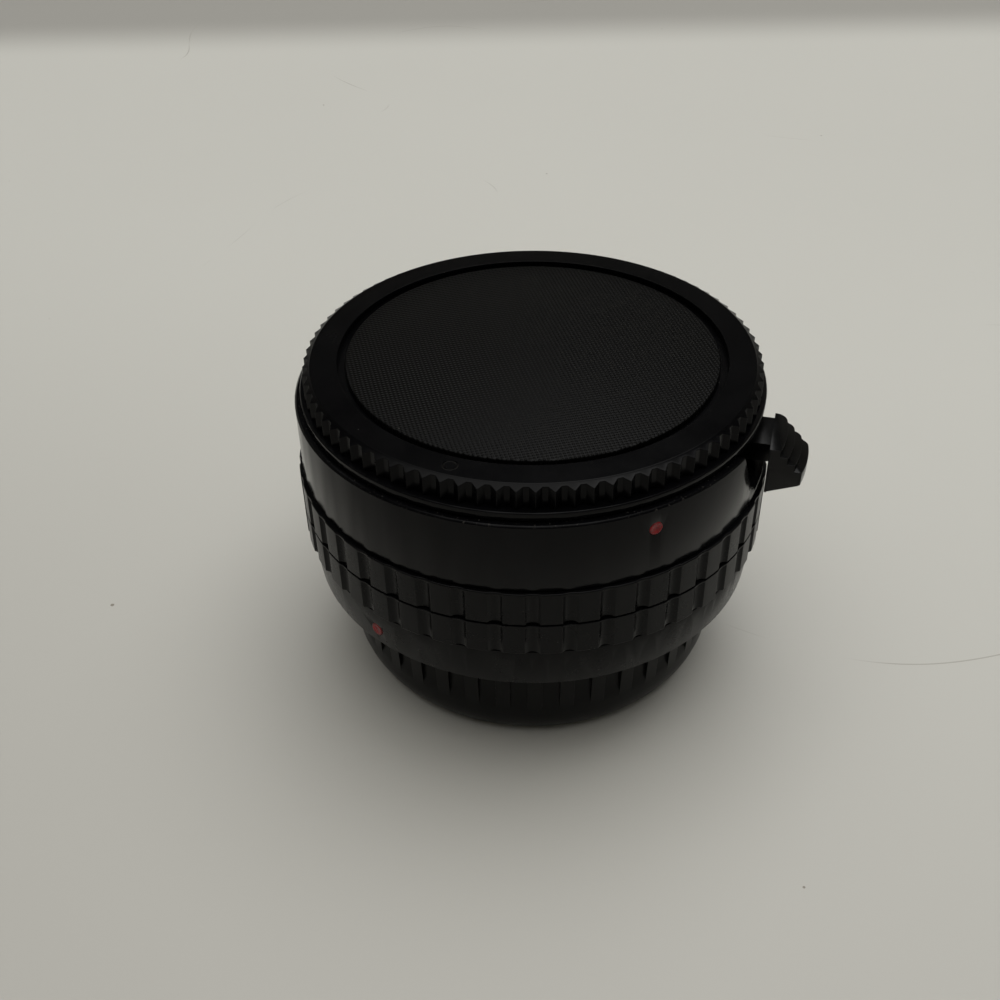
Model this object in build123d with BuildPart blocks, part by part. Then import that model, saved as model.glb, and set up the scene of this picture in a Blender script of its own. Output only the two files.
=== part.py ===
from build123d import *
import os
from math import cos, radians, sin, sqrt

os.makedirs("parts", exist_ok=True)

# A 2x teleconverter for a three-tab bayonet, standing on its rear lens cap with a body
# cap in its front mount. The optical axis is Z, the surface it stands on is Z = 0, and
# angles run from +X towards +Y. The side with the front index dot faces -Y.

# Heights of the stack, from the rear cap up
rear_cap_height = 15.5
flange_reveal = 0.3
lower_band_height = 6.3
grip_height = 10.1
barrel_height = 11.44
cap_height = 3.16

# Fits
shell_clearance = 0.05
running_clearance = 0.06
glass_clearance = 0.05
screw_clearance = 0.08
moving_gap = 0.3
overrun = 1.0

# Levels worked out from the stack
band_low = rear_cap_height + flange_reveal
band_high = band_low + lower_band_height
grip_high = band_high + grip_height
flange_face = grip_high + barrel_height
cap_face = flange_face + cap_height

# Walls and rooms from the glass outwards
front_glass_radius = 13.0
rear_glass_radius = 11.0
cell_wall = 3.5
lens_tube_wall = 2.3
stop_lever_room = 0.4
stop_lever_thickness = 0.8
mount_tube_room = 0.4
mount_tube_wall = 1.7
lug_clearance = 0.2
tab_reach = 1.7
finger_room = 1.1
finger_thickness = 0.8
barrel_wall = 2.05
band_top_set_in = 0.05
band_taper = 0.65
grip_stand = 0.5
rim_set_in = 0.8
cap_set_in = 0.6
cap_chamfer_reach = 1.04
rear_cap_set_in = 0.8
rear_cap_foot_round = 4.9
sleeve_wall = 3.2

# Radii worked out from them
cell_radius = front_glass_radius + glass_clearance + cell_wall
lens_tube_radius = cell_radius + shell_clearance + lens_tube_wall
stop_lever_inner_radius = lens_tube_radius + stop_lever_room
stop_lever_outer_radius = stop_lever_inner_radius + stop_lever_thickness
tube_bore_radius = stop_lever_outer_radius + mount_tube_room
tube_radius = tube_bore_radius + mount_tube_wall
lug_radius = tube_radius + lug_clearance
tab_radius = tube_radius + tab_reach
bayonet_bore_radius = tab_radius + moving_gap
finger_inner_radius = bayonet_bore_radius + finger_room
finger_outer_radius = finger_inner_radius + finger_thickness
channel_outer_radius = finger_outer_radius + moving_gap
sleeve_inner = channel_outer_radius + moving_gap
sleeve_radius = sleeve_inner + sleeve_wall
shell_bore = sleeve_radius + shell_clearance
barrel_radius = shell_bore + barrel_wall
band_top_radius = barrel_radius - band_top_set_in
band_foot_radius = band_top_radius - band_taper
grip_radius = barrel_radius + grip_stand
rim_radius = barrel_radius - rim_set_in
cap_radius = rim_radius - cap_set_in
cap_face_radius = cap_radius - cap_chamfer_reach
rear_cap_radius = band_foot_radius - rear_cap_set_in
rear_cap_foot_radius = rear_cap_radius - rear_cap_foot_round

# Bayonet, shared by the front mount, the rear mount and both caps
lug_count = 3
lug_pitch = 360 / lug_count
lug_angle = 64.0
tab_angle = 48.0
lug_thickness = 1.4
tab_thickness = 1.3
front_dot_angle = -64.5
rear_dot_angle = -132.1

# Aperture follower: a ring that turns and two fingers on it
follower_angle = front_dot_angle - lug_pitch
follower_half_travel = 24.0
follower_finger_angle = 5.0
channel_spare_angle = 3.0

# Stop-down ring and its two levers
stop_down_travel = 17.0
stop_down_front_angle = 40.0
stop_down_rear_angle = 205.0
stop_lever_angle = 6.0
stop_lever_spare_angle = 4.0

# Lens release
release_angle = -15.4
release_travel = 1.8
lock_pin_radius = 1.0
lock_pin_inset = 1.6

lock_pin_circle_radius = channel_outer_radius + lock_pin_inset

# Mount screws
mount_screw_radius = 0.8
mount_screw_head_radius = 1.3
screw_sink = 0.1
screw_head_angle = 90.0
front_screw_inset = 1.1
front_screw_count = 5
front_screw_start = 66.0
rear_screw_count = 4
rear_screw_start = -87.1

front_screw_circle_radius = sleeve_inner + front_screw_inset
rear_screw_circle_radius = (sleeve_inner + sleeve_radius) / 2


def ring(inner, outer, low, high, mode=Mode.ADD):
    with BuildSketch(Plane.XY.offset(low)) as section:
        Circle(outer)
        if inner > 0:
            Circle(inner, mode=Mode.SUBTRACT)
    extrude(section.sketch, amount=high - low, mode=mode)


def ring_sector(inner, outer, centre, span, low, high, mode=Mode.ADD):
    with BuildSketch(Plane.XY.offset(low)) as section:
        with BuildLine():
            outside = CenterArc((0, 0), outer, centre - span / 2, span)
            inside = CenterArc((0, 0), inner, centre - span / 2, span)
            Line(outside @ 0, inside @ 0)
            Line(outside @ 1, inside @ 1)
        make_face()
    extrude(section.sketch, amount=high - low, mode=mode)


def turned(*outline, mode=Mode.ADD):
    with BuildSketch(Plane.XZ) as section:
        with BuildLine():
            Polyline(*outline, close=True)
        make_face()
    revolve(section.sketch, axis=Axis.Z, mode=mode)


def round_at(circle, angle, radius, low, high, mode=Mode.ADD):
    with BuildSketch(Plane.XY.offset(low)) as section:
        with Locations((circle * cos(radians(angle)), circle * sin(radians(angle)))):
            Circle(radius)
    extrude(section.sketch, amount=high - low, mode=mode)


def rounds(circle, start, count, radius, low, high, mode=Mode.ADD):
    for index in range(count):
        round_at(circle, start + index * 360 / count, radius, low, high, mode)


def outward_plane(angle, distance, height):
    reach = Vector(cos(radians(angle)), sin(radians(angle)), 0)
    side = (-sin(radians(angle)), cos(radians(angle)), 0)
    return Plane(origin=reach * distance + Vector(0, 0, height), x_dir=side, z_dir=reach)


def save(piece, name):
    piece.part.label = name
    export_step(piece.part, "parts/" + name + ".step")


# Chassis: an outer sleeve that the three shells slip over, a web, the lens tube and the
# rail that the aperture ring turns on
floor_thickness = 1.2
rear_flange_thickness = 1.5
mount_ring_thickness = 2.0
ledge_thickness = 3.44
web_rise = 5.8
web_thickness = 1.6
lens_tube_proud = 1.6
lens_tube_drop = 0.6
stop_ring_reach = 1.5
stop_ring_room = 1.4
rail_wall = 0.92
shelf_room = 0.4
shelf_drop = 5.6
follower_ring_thickness = 1.3
clip_thickness = 0.5
clip_width = 1.1
release_bay_angle = 38.0
spring_pin_radius = 0.7

rear_flange_high = rear_cap_height + rear_flange_thickness
sleeve_low = rear_flange_high + floor_thickness
mount_ring_low = flange_face - mount_ring_thickness
sleeve_high = mount_ring_low - ledge_thickness
web_low = sleeve_low + web_rise
web_high = web_low + web_thickness
lens_tube_low = sleeve_low - lens_tube_proud
lens_tube_high = sleeve_high - lens_tube_drop
stop_ring_radius = stop_lever_outer_radius + stop_ring_reach
shelf_inner_radius = stop_ring_radius + stop_ring_room
shelf_radius = finger_inner_radius - shelf_room
shelf_high = sleeve_high - shelf_drop
rail_radius = shelf_inner_radius + rail_wall
follower_low = shelf_high + running_clearance
follower_high = follower_low + follower_ring_thickness
rail_high = follower_high + running_clearance
channel_travel = 2 * follower_half_travel + follower_finger_angle + channel_spare_angle
stop_slot_angle = stop_down_travel + stop_lever_angle + stop_lever_spare_angle

with BuildPart() as chassis:
    ring(sleeve_inner, sleeve_radius, sleeve_low, sleeve_high)
    ring(lens_tube_radius - lens_tube_wall / 2, sleeve_inner + sleeve_wall / 2, web_low, web_high)
    ring(lens_tube_radius - lens_tube_wall, lens_tube_radius, lens_tube_low, lens_tube_high)
    ring(shelf_inner_radius, shelf_radius, web_low, shelf_high)
    ring(shelf_inner_radius, rail_radius, web_low, rail_high)
    ring_sector(
        shelf_radius + running_clearance,
        channel_outer_radius,
        follower_angle,
        channel_travel,
        web_low - overrun,
        web_high + overrun,
        mode=Mode.SUBTRACT,
    )
    ring_sector(
        lens_tube_radius + running_clearance,
        stop_lever_outer_radius + moving_gap,
        stop_down_rear_angle + stop_down_travel / 2,
        stop_slot_angle,
        web_low - overrun,
        web_high + overrun,
        mode=Mode.SUBTRACT,
    )
    ring_sector(
        shelf_radius,
        sleeve_radius + overrun,
        release_angle,
        release_bay_angle,
        web_high,
        sleeve_high + overrun,
        mode=Mode.SUBTRACT,
    )
    round_at(
        lock_pin_circle_radius,
        release_angle,
        spring_pin_radius + running_clearance,
        web_low - overrun,
        web_high + overrun,
        mode=Mode.SUBTRACT,
    )

# Front barrel: a moulded shell with a ledge for the bayonet ring and a U-shaped notch
# for the release lever
seat_step = 0.45
rim_height = 1.0
rim_groove_depth = 0.35
rim_groove_width = 0.35
shoulder_drop = 0.25
barrel_foot_chamfer = 0.25
rim_edge = 0.15
notch_floor_half_angle = 14.0
notch_head_half_angle = 21.3
notch_corner_radius = 2.6
notch_depth = 9.44

ledge_inner_radius = channel_outer_radius
ring_seat_radius = shell_bore - seat_step
rim_low = flange_face - rim_height
notch_floor_half = barrel_radius * sin(radians(notch_floor_half_angle))
notch_head_half = barrel_radius * sin(radians(notch_head_half_angle))
notch_low = flange_face - notch_depth
notch_high = rim_low - rim_groove_width

# The notch goes through the shell's wall alone and leaves the ledge behind it
with BuildPart() as notch_room:
    with BuildSketch(outward_plane(release_angle, 0, 0)) as notch:
        Polygon(
            (-notch_floor_half, notch_low),
            (notch_floor_half, notch_low),
            (notch_head_half, notch_high),
            (-notch_head_half, notch_high),
            align=None,
        )
        fillet(notch.vertices().group_by(Axis.Y)[0], notch_corner_radius)
    extrude(notch.sketch, amount=barrel_radius + overrun)
    ring(0, shell_bore, notch_low - overrun, notch_high + overrun, mode=Mode.SUBTRACT)

with BuildPart() as front_barrel:
    turned(
        (shell_bore, grip_high),
        (barrel_radius - barrel_foot_chamfer, grip_high),
        (barrel_radius, grip_high + barrel_foot_chamfer),
        (barrel_radius, rim_low - rim_groove_width - shoulder_drop),
        (barrel_radius - shoulder_drop, rim_low - rim_groove_width),
        (rim_radius - rim_groove_depth, rim_low - rim_groove_width),
        (rim_radius - rim_groove_depth, rim_low),
        (rim_radius, rim_low),
        (rim_radius, flange_face - rim_edge),
        (rim_radius - rim_edge, flange_face),
        (ring_seat_radius, flange_face),
        (ring_seat_radius, mount_ring_low),
        (ledge_inner_radius, mount_ring_low),
        (ledge_inner_radius, sleeve_high),
        (shell_bore, sleeve_high),
    )
    add(notch_room.part, mode=Mode.SUBTRACT)
    round_at(
        lock_pin_circle_radius,
        release_angle,
        lock_pin_radius + running_clearance,
        sleeve_high - overrun,
        flange_face,
        mode=Mode.SUBTRACT,
    )
    rounds(
        front_screw_circle_radius,
        front_screw_start,
        front_screw_count,
        mount_screw_radius + screw_clearance,
        sleeve_high - overrun,
        flange_face,
        mode=Mode.SUBTRACT,
    )

# Grip: two rows of pads with hollow flutes between them and a groove between the rows
grip_pad_count = 44
grip_flute_share = 0.42
grip_flute_depth = 0.55
grip_flute_start = -77.0
grip_groove_width = 0.45
grip_groove_depth = 0.8
grip_row_ledge = 0.45
grip_edge = 0.2

grip_middle = (band_high + grip_high) / 2
grip_pitch = 360 / grip_pad_count
flute_half_width = grip_radius * sin(radians(grip_pitch * grip_flute_share / 2))
flute_radius = (flute_half_width**2 + grip_flute_depth**2) / (2 * grip_flute_depth)
flute_circle = grip_radius - grip_flute_depth + flute_radius

with BuildPart() as grip_ring:
    turned(
        (shell_bore, band_high),
        (grip_radius - grip_edge, band_high),
        (grip_radius, band_high + grip_edge),
        (grip_radius, grip_middle - grip_groove_width / 2),
        (grip_radius - grip_groove_depth, grip_middle - grip_groove_width / 2),
        (grip_radius - grip_groove_depth, grip_middle + grip_groove_width / 2),
        (grip_radius, grip_middle + grip_groove_width / 2),
        (grip_radius, grip_high - grip_edge),
        (grip_radius - grip_edge, grip_high),
        (shell_bore, grip_high),
    )
    for row_low, row_high in ((band_high, grip_middle), (grip_middle, grip_high)):
        with BuildSketch(Plane.XY.offset(row_low)) as flutes:
            first_flute = grip_flute_start + grip_pitch * grip_flute_share / 2
            with PolarLocations(flute_circle, grip_pad_count, start_angle=first_flute):
                Circle(flute_radius)
        extrude(flutes.sketch, amount=row_high - row_low - grip_row_ledge, mode=Mode.SUBTRACT)

# Rear barrel: the smooth lower band, with a floor that the rear mount screws to
rear_flange_step = 0.1
band_foot_edge = 0.25

floor_inner_radius = channel_outer_radius
rear_flange_radius = sleeve_radius + rear_flange_step

with BuildPart() as rear_barrel:
    turned(
        (rear_flange_radius + shell_clearance, band_low),
        (band_foot_radius - band_foot_edge, band_low),
        (band_foot_radius, band_low + band_foot_edge),
        (band_top_radius, band_high),
        (shell_bore, band_high),
        (shell_bore, sleeve_low),
        (floor_inner_radius, sleeve_low),
        (floor_inner_radius, rear_flange_high),
        (rear_flange_radius + shell_clearance, rear_flange_high),
    )
    rounds(
        rear_screw_circle_radius,
        rear_screw_start,
        rear_screw_count,
        mount_screw_radius + screw_clearance,
        rear_flange_high - overrun,
        sleeve_low + overrun,
        mode=Mode.SUBTRACT,
    )

# Front bayonet ring, female: three lugs, screw holes, the lock pin's hole and a relief
# for the aperture finger
lug_low = flange_face - lug_thickness

with BuildPart() as front_bayonet:
    ring(bayonet_bore_radius, ring_seat_radius - shell_clearance, mount_ring_low, flange_face)
    for index in range(lug_count):
        ring_sector(
            lug_radius,
            bayonet_bore_radius + overrun,
            front_dot_angle + lug_pitch * (index + 1 / 2),
            lug_angle,
            lug_low,
            flange_face,
        )
    ring_sector(
        bayonet_bore_radius - overrun / 2,
        channel_outer_radius,
        follower_angle,
        channel_travel,
        mount_ring_low - overrun,
        flange_face + overrun,
        mode=Mode.SUBTRACT,
    )
    round_at(
        lock_pin_circle_radius,
        release_angle,
        lock_pin_radius + running_clearance,
        mount_ring_low - overrun,
        flange_face + overrun,
        mode=Mode.SUBTRACT,
    )
    with Locations(Plane.XY.offset(flange_face)):
        with PolarLocations(front_screw_circle_radius, front_screw_count, start_angle=front_screw_start):
            CounterSinkHole(
                mount_screw_radius + screw_clearance,
                mount_screw_head_radius + screw_clearance + screw_sink,
                depth=mount_ring_thickness,
                counter_sink_angle=screw_head_angle,
            )

# Bayonet springs: three thin strips that lie under the lugs
strip_thickness = 0.2
strip_angle_share = 0.8

with BuildPart() as bayonet_springs:
    for index in range(lug_count):
        ring_sector(
            lug_radius + running_clearance,
            bayonet_bore_radius - running_clearance,
            front_dot_angle + lug_pitch * (index + 1 / 2),
            lug_angle * strip_angle_share,
            lug_low - strip_thickness,
            lug_low,
        )

# Rear bayonet, male: a flange, a tube and three tabs
rear_tube_length = 4.0
tab_set_back = 0.4

rear_tube_low = rear_cap_height - rear_tube_length
rear_tab_low = rear_tube_low + tab_set_back
rear_slot_inner_radius = finger_inner_radius - moving_gap

with BuildPart() as rear_bayonet:
    ring(tube_bore_radius, rear_flange_radius, rear_cap_height, rear_flange_high)
    ring(tube_bore_radius, tube_radius, rear_tube_low, rear_flange_high)
    for index in range(lug_count):
        ring_sector(
            tube_radius - running_clearance,
            tab_radius,
            rear_dot_angle + lug_pitch * index,
            tab_angle,
            rear_tab_low,
            rear_tab_low + tab_thickness,
        )
    ring_sector(
        rear_slot_inner_radius,
        channel_outer_radius,
        follower_angle,
        channel_travel,
        rear_cap_height - overrun,
        rear_flange_high + overrun,
        mode=Mode.SUBTRACT,
    )
    with Locations(Plane(origin=(0, 0, rear_cap_height), x_dir=(1, 0, 0), z_dir=(0, 0, -1))):
        with PolarLocations(rear_screw_circle_radius, rear_screw_count, start_angle=-rear_screw_start):
            CounterSinkHole(
                mount_screw_radius + screw_clearance,
                mount_screw_head_radius + screw_clearance + screw_sink,
                depth=rear_flange_thickness,
                counter_sink_angle=screw_head_angle,
            )

# Mount screws, countersunk
front_screw_length = 6.8
rear_screw_length = 6.4
screw_slot_width = 0.4
screw_slot_depth = 0.35


def countersunk(circle, angle, face, length, down, thread_radius, head_radius):
    # The screw enters downwards from its face when down is 1, and upwards when it is -1
    centre = Vector(circle * cos(radians(angle)), circle * sin(radians(angle)), face - down * screw_sink)
    with BuildSketch(Plane(origin=centre, x_dir=(1, 0, 0), z_dir=(0, -1, 0))) as section:
        with BuildLine():
            Polyline(
                (0, 0),
                (head_radius, 0),
                (thread_radius, -down * (head_radius - thread_radius)),
                (thread_radius, -down * length),
                (0, -down * length),
                close=True,
            )
        make_face()
    revolve(section.sketch, axis=Axis((centre.X, centre.Y, 0), (0, 0, 1)))
    with BuildSketch(Plane(origin=centre, x_dir=(1, 0, 0), z_dir=(0, 0, down))) as slot:
        Rectangle(2 * head_radius + overrun, screw_slot_width, rotation=angle)
    extrude(slot.sketch, amount=-screw_slot_depth, mode=Mode.SUBTRACT)


with BuildPart() as front_bayonet_screws:
    for index in range(front_screw_count):
        countersunk(
            front_screw_circle_radius,
            front_screw_start + index * 360 / front_screw_count,
            flange_face,
            front_screw_length,
            1,
            mount_screw_radius,
            mount_screw_head_radius,
        )

with BuildPart() as rear_bayonet_screws:
    for index in range(rear_screw_count):
        countersunk(
            rear_screw_circle_radius,
            rear_screw_start + index * 360 / rear_screw_count,
            rear_cap_height,
            rear_screw_length,
            -1,
            mount_screw_radius,
            mount_screw_head_radius,
        )

# The screws' holes in the sleeve are cut at the thread's own size plus a clearance
with BuildPart() as screw_bores:
    rounds(
        front_screw_circle_radius,
        front_screw_start,
        front_screw_count,
        mount_screw_radius + screw_clearance,
        flange_face - front_screw_length - overrun,
        sleeve_high + overrun,
    )
    rounds(
        rear_screw_circle_radius,
        rear_screw_start,
        rear_screw_count,
        mount_screw_radius + screw_clearance,
        sleeve_low - overrun,
        rear_cap_height + rear_screw_length + overrun,
    )
with chassis:
    add(screw_bores.part, mode=Mode.SUBTRACT)

# Index dots: small plugs of paint set into the barrel
dot_radius = 0.95
dot_depth = 0.5
dot_proud = 0.06
front_dot_drop = 4.34
rear_dot_rise = 2.8

front_dot_height = flange_face - front_dot_drop
rear_dot_height = band_low + rear_dot_rise


def index_dot(angle, surface_radius, height, clearance):
    with BuildSketch(outward_plane(angle, surface_radius - dot_depth, height)) as dot:
        Circle(dot_radius + clearance)
    return dot.sketch


rear_dot_share = (rear_dot_height - band_low) / lower_band_height
rear_dot_surface = band_foot_radius + (band_top_radius - band_foot_radius) * rear_dot_share
with front_barrel:
    extrude(
        index_dot(front_dot_angle, barrel_radius, front_dot_height, 0),
        amount=dot_depth + overrun,
        mode=Mode.SUBTRACT,
    )
with rear_barrel:
    extrude(
        index_dot(rear_dot_angle, rear_dot_surface, rear_dot_height, 0),
        amount=dot_depth + overrun,
        mode=Mode.SUBTRACT,
    )
with BuildPart() as front_index_dot:
    extrude(
        index_dot(front_dot_angle, barrel_radius, front_dot_height, -shell_clearance),
        amount=dot_depth + dot_proud,
    )
with BuildPart() as rear_index_dot:
    extrude(
        index_dot(rear_dot_angle, rear_dot_surface, rear_dot_height, -shell_clearance),
        amount=dot_depth + dot_proud,
    )

# Lens cell: a turned tube with a front flange, a lip between its two bores and four
# elements held by spacers and threaded rings
cell_flange_set_in = 0.2
cell_flange_thickness = 1.2
cell_set_back = 0.8
lip_depth = 12.3
lip_thickness = 1.5
lip_step = 1.0
front_edge_low = 2.2
second_edge = 3.2
third_edge = 2.2
rear_edge = 3.0
front_spacer_height = 1.5
rear_spacer_height = 1.3
retainer_height = 1.5
spacer_wall = 0.9
spanner_slot_width = 1.2
spanner_slot_depth = 0.6
front_element_bulge = 1.6
front_element_hollow = 0.7
second_element_hollow = 1.1
third_element_bulge = 1.3
third_element_back = 0.65
rear_element_hollow = 0.9

cell_flange_radius = lens_tube_radius - cell_flange_set_in
cell_low = lens_tube_low + cell_set_back
cell_high = lens_tube_high + cell_flange_thickness
lip_low = cell_high - lip_depth
lip_radius = rear_glass_radius - lip_step
lip_high = lip_low + lip_thickness
second_high = lip_high + second_edge
front_spacer_high = second_high + front_spacer_height
front_edge_high = front_spacer_high + front_edge_low
cell_screw_circle_radius = lens_tube_radius - lens_tube_wall / 2
cell_screw_radius = 0.5
cell_screw_head_radius = 0.9
cell_screw_length = 4.0
cell_screw_count = 3
cell_screw_start = 85.0


def sagged(edge_radius, sag, at_radius):
    # Height of a spherical face above its edge, for a sag that is the height at its centre
    sphere = (edge_radius**2 + sag**2) / (2 * abs(sag))
    height = sqrt(sphere**2 - at_radius**2) - (sphere - abs(sag))
    return height if sag > 0 else -height


retainer_low = front_edge_high + sagged(
    front_glass_radius, front_element_bulge, front_glass_radius - spacer_wall
)
third_high = lip_low - sagged(rear_glass_radius, third_element_bulge, lip_radius)
third_low = third_high - third_edge
rear_spacer_high = third_low - sagged(
    rear_glass_radius, third_element_back, rear_glass_radius - spacer_wall
)
rear_spacer_low = rear_spacer_high - rear_spacer_height
rear_edge_low = rear_spacer_low - rear_edge

with BuildPart() as lens_cell:
    ring(0, cell_radius, cell_low, cell_high)
    ring(0, cell_flange_radius, lens_tube_high, cell_high)
    ring(0, lip_radius, cell_low - overrun, cell_high + overrun, mode=Mode.SUBTRACT)
    ring(0, front_glass_radius + glass_clearance, lip_high, cell_high + overrun, mode=Mode.SUBTRACT)
    ring(0, rear_glass_radius + glass_clearance, cell_low - overrun, lip_low, mode=Mode.SUBTRACT)
    with Locations(Plane.XY.offset(cell_high)):
        with PolarLocations(cell_screw_circle_radius, cell_screw_count, start_angle=cell_screw_start):
            CounterSinkHole(
                cell_screw_radius + screw_clearance,
                cell_screw_head_radius + screw_clearance + screw_sink,
                depth=cell_flange_thickness,
                counter_sink_angle=screw_head_angle,
            )
with chassis:
    rounds(
        cell_screw_circle_radius,
        cell_screw_start,
        cell_screw_count,
        cell_screw_radius + screw_clearance,
        cell_high - cell_screw_length - overrun,
        lens_tube_high + overrun,
        mode=Mode.SUBTRACT,
    )

with BuildPart() as cell_screws:
    for index in range(cell_screw_count):
        countersunk(
            cell_screw_circle_radius,
            cell_screw_start + index * 360 / cell_screw_count,
            cell_high,
            cell_screw_length,
            1,
            cell_screw_radius,
            cell_screw_head_radius,
        )


def lens(radius, low, high, low_bulge, high_bulge):
    # A bulge is how far the face stands out at the axis, and is negative where it is hollow
    with BuildSketch(Plane.XZ) as section:
        with BuildLine():
            base = ThreePointArc(
                (0, low - low_bulge),
                (radius / 2, low - sagged(radius, low_bulge, radius / 2)),
                (radius, low),
            )
            top = ThreePointArc(
                (radius, high),
                (radius / 2, high + sagged(radius, high_bulge, radius / 2)),
                (0, high + high_bulge),
            )
            Line(base @ 1, top @ 0)
            Line(top @ 1, base @ 0)
        make_face()
    revolve(section.sketch, axis=Axis.Z)


with BuildPart() as front_element:
    lens(front_glass_radius, front_spacer_high, front_edge_high, -front_element_hollow, front_element_bulge)
with BuildPart() as second_element:
    lens(front_glass_radius, lip_high, second_high, -second_element_hollow, -second_element_hollow)
with BuildPart() as third_element:
    lens(rear_glass_radius, third_low, third_high, third_element_back, third_element_bulge)
with BuildPart() as rear_element:
    lens(rear_glass_radius, rear_edge_low, rear_spacer_low, -rear_element_hollow, -rear_element_hollow)

with BuildPart() as front_spacer:
    ring(front_glass_radius - spacer_wall, front_glass_radius, second_high, front_spacer_high)
with BuildPart() as rear_spacer:
    ring(rear_glass_radius - spacer_wall, rear_glass_radius, rear_spacer_low, rear_spacer_high)
with BuildPart() as front_retaining_ring:
    ring(front_glass_radius - spacer_wall, front_glass_radius, retainer_low, retainer_low + retainer_height)
    with BuildSketch(Plane.XY.offset(retainer_low + retainer_height)) as spanner_slot:
        Rectangle(2 * front_glass_radius + overrun, spanner_slot_width)
    extrude(spanner_slot.sketch, amount=-spanner_slot_depth, mode=Mode.SUBTRACT)
with BuildPart() as rear_retaining_ring:
    ring(rear_glass_radius - spacer_wall, rear_glass_radius, rear_edge_low - retainer_height, rear_edge_low)
    with BuildSketch(Plane.XY.offset(rear_edge_low - retainer_height)) as spanner_slot:
        Rectangle(2 * rear_glass_radius + overrun, spanner_slot_width)
    extrude(spanner_slot.sketch, amount=spanner_slot_depth, mode=Mode.SUBTRACT)

# Rear baffle: a plate with a rectangular window, screwed to the end of the lens tube
baffle_thickness = 1.0
baffle_width = 24.0
baffle_height = 17.0
baffle_corner = 2.0
baffle_screw_radius = 0.5
baffle_screw_head_radius = 0.9
baffle_screw_length = 3.2
baffle_screw_count = 2
baffle_screw_start = 97.0
baffle_head_height = 0.6
baffle_face = lens_tube_low - baffle_thickness

with BuildPart() as rear_baffle:
    with BuildSketch(Plane.XY.offset(baffle_face)) as plate:
        Circle(lens_tube_radius)
        RectangleRounded(baffle_width, baffle_height, baffle_corner, mode=Mode.SUBTRACT)
        with PolarLocations(cell_screw_circle_radius, baffle_screw_count, start_angle=baffle_screw_start):
            Circle(baffle_screw_radius + screw_clearance, mode=Mode.SUBTRACT)
    extrude(plate.sketch, amount=baffle_thickness)
with chassis:
    rounds(
        cell_screw_circle_radius,
        baffle_screw_start,
        baffle_screw_count,
        baffle_screw_radius + screw_clearance,
        lens_tube_low - overrun,
        lens_tube_low + baffle_screw_length + overrun,
        mode=Mode.SUBTRACT,
    )

with BuildPart() as baffle_screws:
    rounds(
        cell_screw_circle_radius,
        baffle_screw_start,
        baffle_screw_count,
        baffle_screw_radius,
        baffle_face,
        baffle_face + baffle_screw_length,
    )
    rounds(
        cell_screw_circle_radius,
        baffle_screw_start,
        baffle_screw_count,
        baffle_screw_head_radius,
        baffle_face - baffle_head_height,
        baffle_face,
    )
    for index in range(baffle_screw_count):
        angle = baffle_screw_start + index * 360 / baffle_screw_count
        across = cell_screw_circle_radius * cos(radians(angle))
        along = cell_screw_circle_radius * sin(radians(angle))
        with BuildSketch(Plane.XY.offset(baffle_face - baffle_head_height)) as slot:
            with Locations((across, along)):
                Rectangle(2 * baffle_screw_head_radius + overrun, screw_slot_width, rotation=angle)
        extrude(slot.sketch, amount=screw_slot_depth, mode=Mode.SUBTRACT)

# Aperture ring: turns on the chassis rail and carries a finger to each mount
front_finger_set_back = 0.6
rear_finger_reach = 2.9

follower_finger_high = flange_face - front_finger_set_back
follower_finger_low = rear_cap_height - rear_finger_reach

with BuildPart() as aperture_ring:
    ring(rail_radius + running_clearance, finger_outer_radius, follower_low, follower_high)
    ring_sector(
        finger_inner_radius,
        finger_outer_radius,
        follower_angle,
        follower_finger_angle,
        follower_finger_low,
        follower_finger_high,
    )

# The clip that keeps the aperture ring on its rail
with BuildPart() as aperture_ring_clip:
    ring(shelf_inner_radius, rail_radius + clip_width, rail_high, rail_high + clip_thickness)

# Stop-down ring: turns on the lens tube and carries a lever to each mount
stop_ring_thickness = 1.2
stop_lever_drop = 2.64
stop_lever_reach = 5.9

stop_ring_low = web_high + running_clearance
stop_ring_high = stop_ring_low + stop_ring_thickness
stop_lever_high = flange_face - stop_lever_drop
stop_lever_low = rear_cap_height - stop_lever_reach

with BuildPart() as stop_down_ring:
    ring(lens_tube_radius + running_clearance, stop_ring_radius, stop_ring_low, stop_ring_high)
    ring_sector(
        stop_lever_inner_radius,
        stop_lever_outer_radius,
        stop_down_front_angle,
        stop_lever_angle,
        stop_ring_low,
        stop_lever_high,
    )
    ring_sector(
        stop_lever_inner_radius,
        stop_lever_outer_radius,
        stop_down_rear_angle,
        stop_lever_angle,
        stop_lever_low,
        stop_ring_high,
    )

# The clip that keeps the stop-down ring on the lens tube, open where the lever passes
stop_clip_low = stop_ring_high + running_clearance
stop_clip_high = stop_clip_low + clip_thickness

with BuildPart() as stop_down_clip:
    ring(lens_tube_radius + shell_clearance, stop_ring_radius, stop_clip_low, stop_clip_high)
    ring_sector(
        lens_tube_radius - overrun,
        stop_ring_radius + overrun,
        stop_down_front_angle + stop_down_travel / 2,
        stop_slot_angle,
        stop_clip_low - overrun,
        stop_clip_high + overrun,
        mode=Mode.SUBTRACT,
    )

# Release slide: a plate inside the barrel that carries the lock pin and the lever
slide_thickness = 1.2
slide_width = 6.0
lock_pin_proud = 0.8
lock_pin_tail = 0.6

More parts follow.
